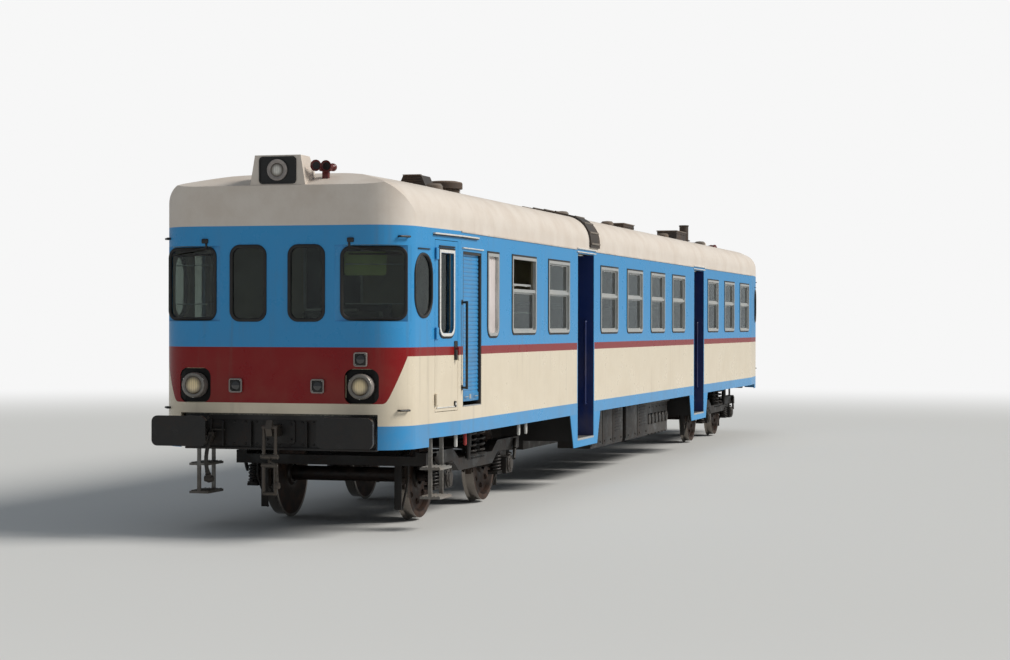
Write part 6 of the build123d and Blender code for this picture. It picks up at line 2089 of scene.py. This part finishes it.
def cushion(span, voxel, cap, divide=False):
    """A foam cushion about its own middle: a soft block, swollen as cloth under pressure."""
    part = bmesh.new()
    bmesh.ops.create_cube(part, size=1.0)
    bmesh.ops.scale(part, vec=span, verts=part.verts)
    bmesh.ops.bevel(
        part, geom=part.edges, offset=min(span) * 0.3, segments=3, profile=0.5, affect="EDGES", material=-1
    )
    data = bpy.data.meshes.new("cushion")
    part.to_mesh(data)
    part.free()
    soft = bpy.data.objects.new("cushion", data)
    bpy.context.scene.collection.objects.link(soft)
    remesh = soft.modifiers.new("remesh", "REMESH")
    remesh.mode = "VOXEL"
    remesh.voxel_size = voxel
    even = bpy.data.meshes.new_from_object(soft.evaluated_get(bpy.context.evaluated_depsgraph_get()))
    soft.modifiers.clear()
    soft.data = even
    cloth = soft.modifiers.new("cloth", "CLOTH")
    cloth.settings.quality = 5
    cloth.settings.mass = 0.3
    cloth.settings.use_pressure = True
    cloth.settings.uniform_pressure_force = 4.0
    cloth.settings.effector_weights.gravity = 0.0
    cloth.point_cache.frame_start = 1
    cloth.point_cache.frame_end = 20
    for moment in range(1, 21):
        bpy.context.scene.frame_set(moment)
    swollen = bpy.data.meshes.new_from_object(soft.evaluated_get(bpy.context.evaluated_depsgraph_get()))
    for vert, target in zip(even.vertices, swollen.vertices):
        step = target.co - vert.co
        if step.length > cap:
            step = step * (cap / step.length)
        vert.co += step
    bpy.data.meshes.remove(swollen)
    soft.modifiers.clear()
    bpy.context.scene.frame_set(1)
    if divide:
        rounder = soft.modifiers.new("rounder", "SUBSURF")
        rounder.levels = 1
        rounder.render_levels = 1
        even = bpy.data.meshes.new_from_object(soft.evaluated_get(bpy.context.evaluated_depsgraph_get()))
    bpy.data.objects.remove(soft)
    made = bmesh.new()
    made.from_mesh(even)
    return made


def sewn(mesh, across, depth, width):
    """Pulls a cushion in along seams that cross its length at the given places."""
    for vert in mesh.verts:
        pull = sum(math.exp(-(((vert.co.y - place) / width) ** 2)) for place in across)
        vert.co.z -= depth * pull * (1 if vert.co.z > 0 else -0.2)


def welt(length, width, height):
    """The points of a closed cord round a cushion's edge, corners rounded."""
    points = []
    for angle in range(0, 375, 15):
        turn = math.radians(angle)
        x = math.copysign(abs(math.cos(turn)) ** 0.25, math.cos(turn)) * length / 2
        y = math.copysign(abs(math.sin(turn)) ** 0.25, math.sin(turn)) * width / 2
        points.append(Vector((x, y, height)))
    return points


seat_cover = quilted("seat_cover", rgb(104, 58, 40))
seat_places = []
for x in WINDOW_MIDDLES:
    for face in (1, -1):
        for side in (1, -1):
            seat_places.append(
                at(x + face * BAY, side * SEAT_MIDDLE, FLOOR_Z) @ Matrix.Diagonal((-face, side, 1, 1))
            )
lean = at(0.085, 0, 0.825) @ Matrix.Rotation(math.radians(-85.1), 4, "Y")
sit = at(0.322, 0, 0.405) @ Matrix.Rotation(math.radians(3.0), 4, "Y")
seat_pads = bmesh.new()
seat_part = cushion((0.40, 0.985, 0.085), VOXEL, 0.022)
sewn(seat_part, (0.0,), 0.012, 0.03)
stamp(seat_pads, seat_part, [place @ sit for place in seat_places])
back_pads = bmesh.new()
back_part = cushion((0.64, 0.985, 0.050), BACK_VOXEL, 0.016)
sewn(back_part, (0.0,), 0.008, 0.03)
stamp(back_pads, back_part, [place @ lean for place in seat_places])
piece("bench_seat_cushions", seat_pads, seat_cover, smooth=80)
piece("bench_back_cushions", back_pads, seat_cover, smooth=80)
welts = []
grips = []
frames = bmesh.new()
for place in seat_places:
    welts.append(placed(welt(0.405, 0.99, 0.028), place @ sit))
    welts.append(placed(welt(0.645, 0.99, 0.014), place @ lean))
    grips.append(
        placed(
            bent(
                ((0.022, -0.47, 1.10), (0.022, -0.47, 1.168), (0.022, 0.47, 1.168), (0.022, 0.47, 1.10)),
                0.04
            ),
            place
        )
    )
    grips.append(
        placed(
            bent(
                ((0.10, -0.500, 0.46), (0.10, -0.500, 0.66), (0.44, -0.500, 0.66), (0.44, -0.500, 0.36)),
                0.06
            ),
            place
        )
    )
block(frames, (0.002, -0.50, 0.30), (0.020, 0.50, 1.155), 0.006, seat_places)
block(frames, (0.06, -0.49, 0.332), (0.53, 0.49, 0.348), 0.005, seat_places)
block(frames, (0.008, -0.44, 0.002), (0.112, 0.44, 0.33), 0.008, seat_places)
block(frames, (0.40, -0.46, 0.002), (0.44, -0.42, 0.335), 0.006, seat_places)
block(frames, (0.36, -0.48, 0.001), (0.48, -0.40, 0.010), 0.003, seat_places)
seat_enamel = sprayed("seat_enamel", rgb(96, 98, 94), 0.4, 0.3, 1.0, 2.0, 0.1)
piece("bench_frames", frames, seat_enamel, replaces=("seats",))
pipes("bench_welts", welts, 0.005, seat_cover, sides=1)
pipes("bench_grab_rails", grips, 0.011, rim_chrome, sides=2)

# Luggage racks and ceiling lamps
# Tubular racks on cast brackets along both sides, and fluorescent fittings with opal covers on the ceiling.

racks = []
brackets = bmesh.new()
lamp_covers = bmesh.new()
for low_x, high_x in ((4.70, 8.0), (-3.5, 3.5), (-9.66, -4.70)):
    for side in SIDES:
        for index in range(5):
            y = 1.05 + index * 0.07
            z = RAIL + 2.985 - index * 0.008
            racks.append(placed(((low_x, y, z), ((low_x + high_x) / 2, y, z), (high_x, y, z)), side))
        count = round((high_x - low_x) / 0.85)
        for index in range(count + 1):
            x = low_x + 0.04 + index * (high_x - low_x - 0.08) / count
            block(brackets, (x - 0.008, 1.02, RAIL + 2.955), (x + 0.008, 1.385, RAIL + 2.975), 0.004, [side])
    lamps = round((high_x - low_x) / 1.7)
    for index in range(lamps):
        x = low_x + (index + 0.5) * (high_x - low_x) / lamps
        block(lamp_covers, (x - 0.62, -0.09, RAIL + 3.585), (x + 0.62, 0.09, RAIL + 3.64), 0.018, segments=3)
pipes("luggage_racks", racks, 0.009, frame_aluminium, sides=2)
piece("rack_brackets", brackets, frame_aluminium)
piece("ceiling_lamps", lamp_covers, lens_glass("opal_cover", rgb(236, 234, 226), 0.35))

# Cabs
# Each desk is a moulded top on a steel front, with round dials, two rows of switches, a power handle and a
# brake valve. The driver has a padded swivel seat and a green sun visor hinged over the windscreen.

DESK_TOP = FLOOR_Z + 0.90
desk_plastic = sprayed("desk_plastic", rgb(58, 66, 62), 0.5, 0.3, 1.0, 3.0, 0.05)
wear(("driving_desks",), desk_plastic)
trims = bmesh.new()
dials = bmesh.new()
knobs = bmesh.new()
for end in MIRRORED_ENDS:
    block(trims, (11.03, 0.20, DESK_TOP - 0.002), (11.15, 1.02, DESK_TOP + 0.13), 0.018, [end], 3)
    block(trims, (10.66, 0.15, DESK_TOP - 0.165), (10.71, 1.10, DESK_TOP - 0.14), 0.008, [end])
    for index in range(5):
        spot = end @ facing(11.03, 0.29 + index * 0.155, DESK_TOP + 0.065, (-1, 0, 0))
        turned(
            knobs, [(0.044, -0.002), (0.054, -0.002), (0.054, 0.008), (0.048, 0.011), (0.044, 0.008)],
            [spot], 28
        )
        dish(dials, 0.045, 0.003, [spot @ at(0, 0, 0.003)], 2, 28)
        slab(
            knobs, 0.004, 0.030, 0.0015,
            [spot @ Matrix.Rotation(0.5 * index, 4, "Z") @ at(0, 0.010, 0.0055)]
        )
    for row in range(2):
        for index in range(9):
            spot = end @ facing(
                10.86 + row * 0.07, 0.34 + index * 0.06, DESK_TOP - 0.062 + row * 0.033, (-0.423, 0, 0.906)
            )
            turned(knobs, [(0.0, 0.0), (0.011, 0.0), (0.010, 0.012), (0.0, 0.014)], [spot], 12)
    for y, length in ((0.24, 0.10), (0.96, 0.14)):
        spot = end @ at(10.90, y, DESK_TOP - 0.05)
        turned(trims, [(0.0, 0.0), (0.05, 0.0), (0.045, 0.05), (0.02, 0.06), (0.0, 0.06)], [spot], 28)
        cylinder_along(
            knobs, 0.008, (10.90, y, DESK_TOP + 0.005), (10.90 - length, y, DESK_TOP + 0.045), [end], 12
        )
        dish(knobs, 0.018, 0.018, [end @ at(10.90 - length, y, DESK_TOP + 0.045)], 4, 18)
piece("desk_binnacles", trims, desk_plastic)
piece("desk_dials", dials, dark_lens, smooth=80)
piece("desk_controls", knobs, rim_chrome)
chairs = bmesh.new()
chair_pads = bmesh.new()
places = [at(0, 0, FLOOR_Z), BACK @ at(0, 0, FLOOR_Z)]
block(chairs, (10.12, 0.42, 0.420), (10.50, 0.78, 0.436), 0.006, places)
block(chairs, (10.054, 0.42, 0.40), (10.070, 0.78, 1.12), 0.006, places)
turned(
    chairs, [(0.0, 0.0), (0.17, 0.0), (0.16, 0.02), (0.045, 0.03), (0.04, 0.42), (0.0, 0.42)],
    [place @ at(10.31, 0.6, 0.001) for place in places], 36
)
chair_seat = cushion((0.37, 0.37, 0.050), 0.012, 0.014, True)
stamp(chair_pads, chair_seat, [place @ at(10.32, 0.6, 0.468) for place in places])
chair_back = cushion((0.60, 0.37, 0.040), 0.012, 0.012, True)
back_lie = at(10.098, 0.6, 0.82) @ Matrix.Rotation(math.radians(-90), 4, "Y")
stamp(chair_pads, chair_back, [place @ back_lie for place in places])
piece("driver_seat_frames", chairs, seat_enamel, replaces=("driver_seats",))
piece(
        "driver_seat_cushions", chair_pads, quilted("driver_cover", rgb(40, 40, 42)),
        smooth=80
    )
chair_welts = [placed(welt(0.375, 0.375, 0.018), place @ at(10.32, 0.6, 0.468)) for place in places]
chair_welts += [placed(welt(0.605, 0.375, -0.014), place @ back_lie) for place in places]
pipes("driver_seat_welts", chair_welts, 0.004, bpy.data.materials["driver_cover"], sides=1)
visors = bmesh.new()
for end in MIRRORED_ENDS:
    spot = SCREEN_MIDDLE - SCREEN_OUT * 0.11 + Vector((0.03, -0.085, 0.20))
    slab(visors, 0.42, 0.24, 0.006, [end @ facing(*spot, out=SCREEN_OUT)], 0.03, 0.002)
# Painted light: the visor's pale yellow-green is lifted well above its own olive green, standing in for the
# daylight that the windscreen glass keeps out of the cab.
piece("sun_visors", visors, sprayed("visor_green", rgb(206, 222, 128), 0.3, 0.2, 1.0, 4.0, 0.1))
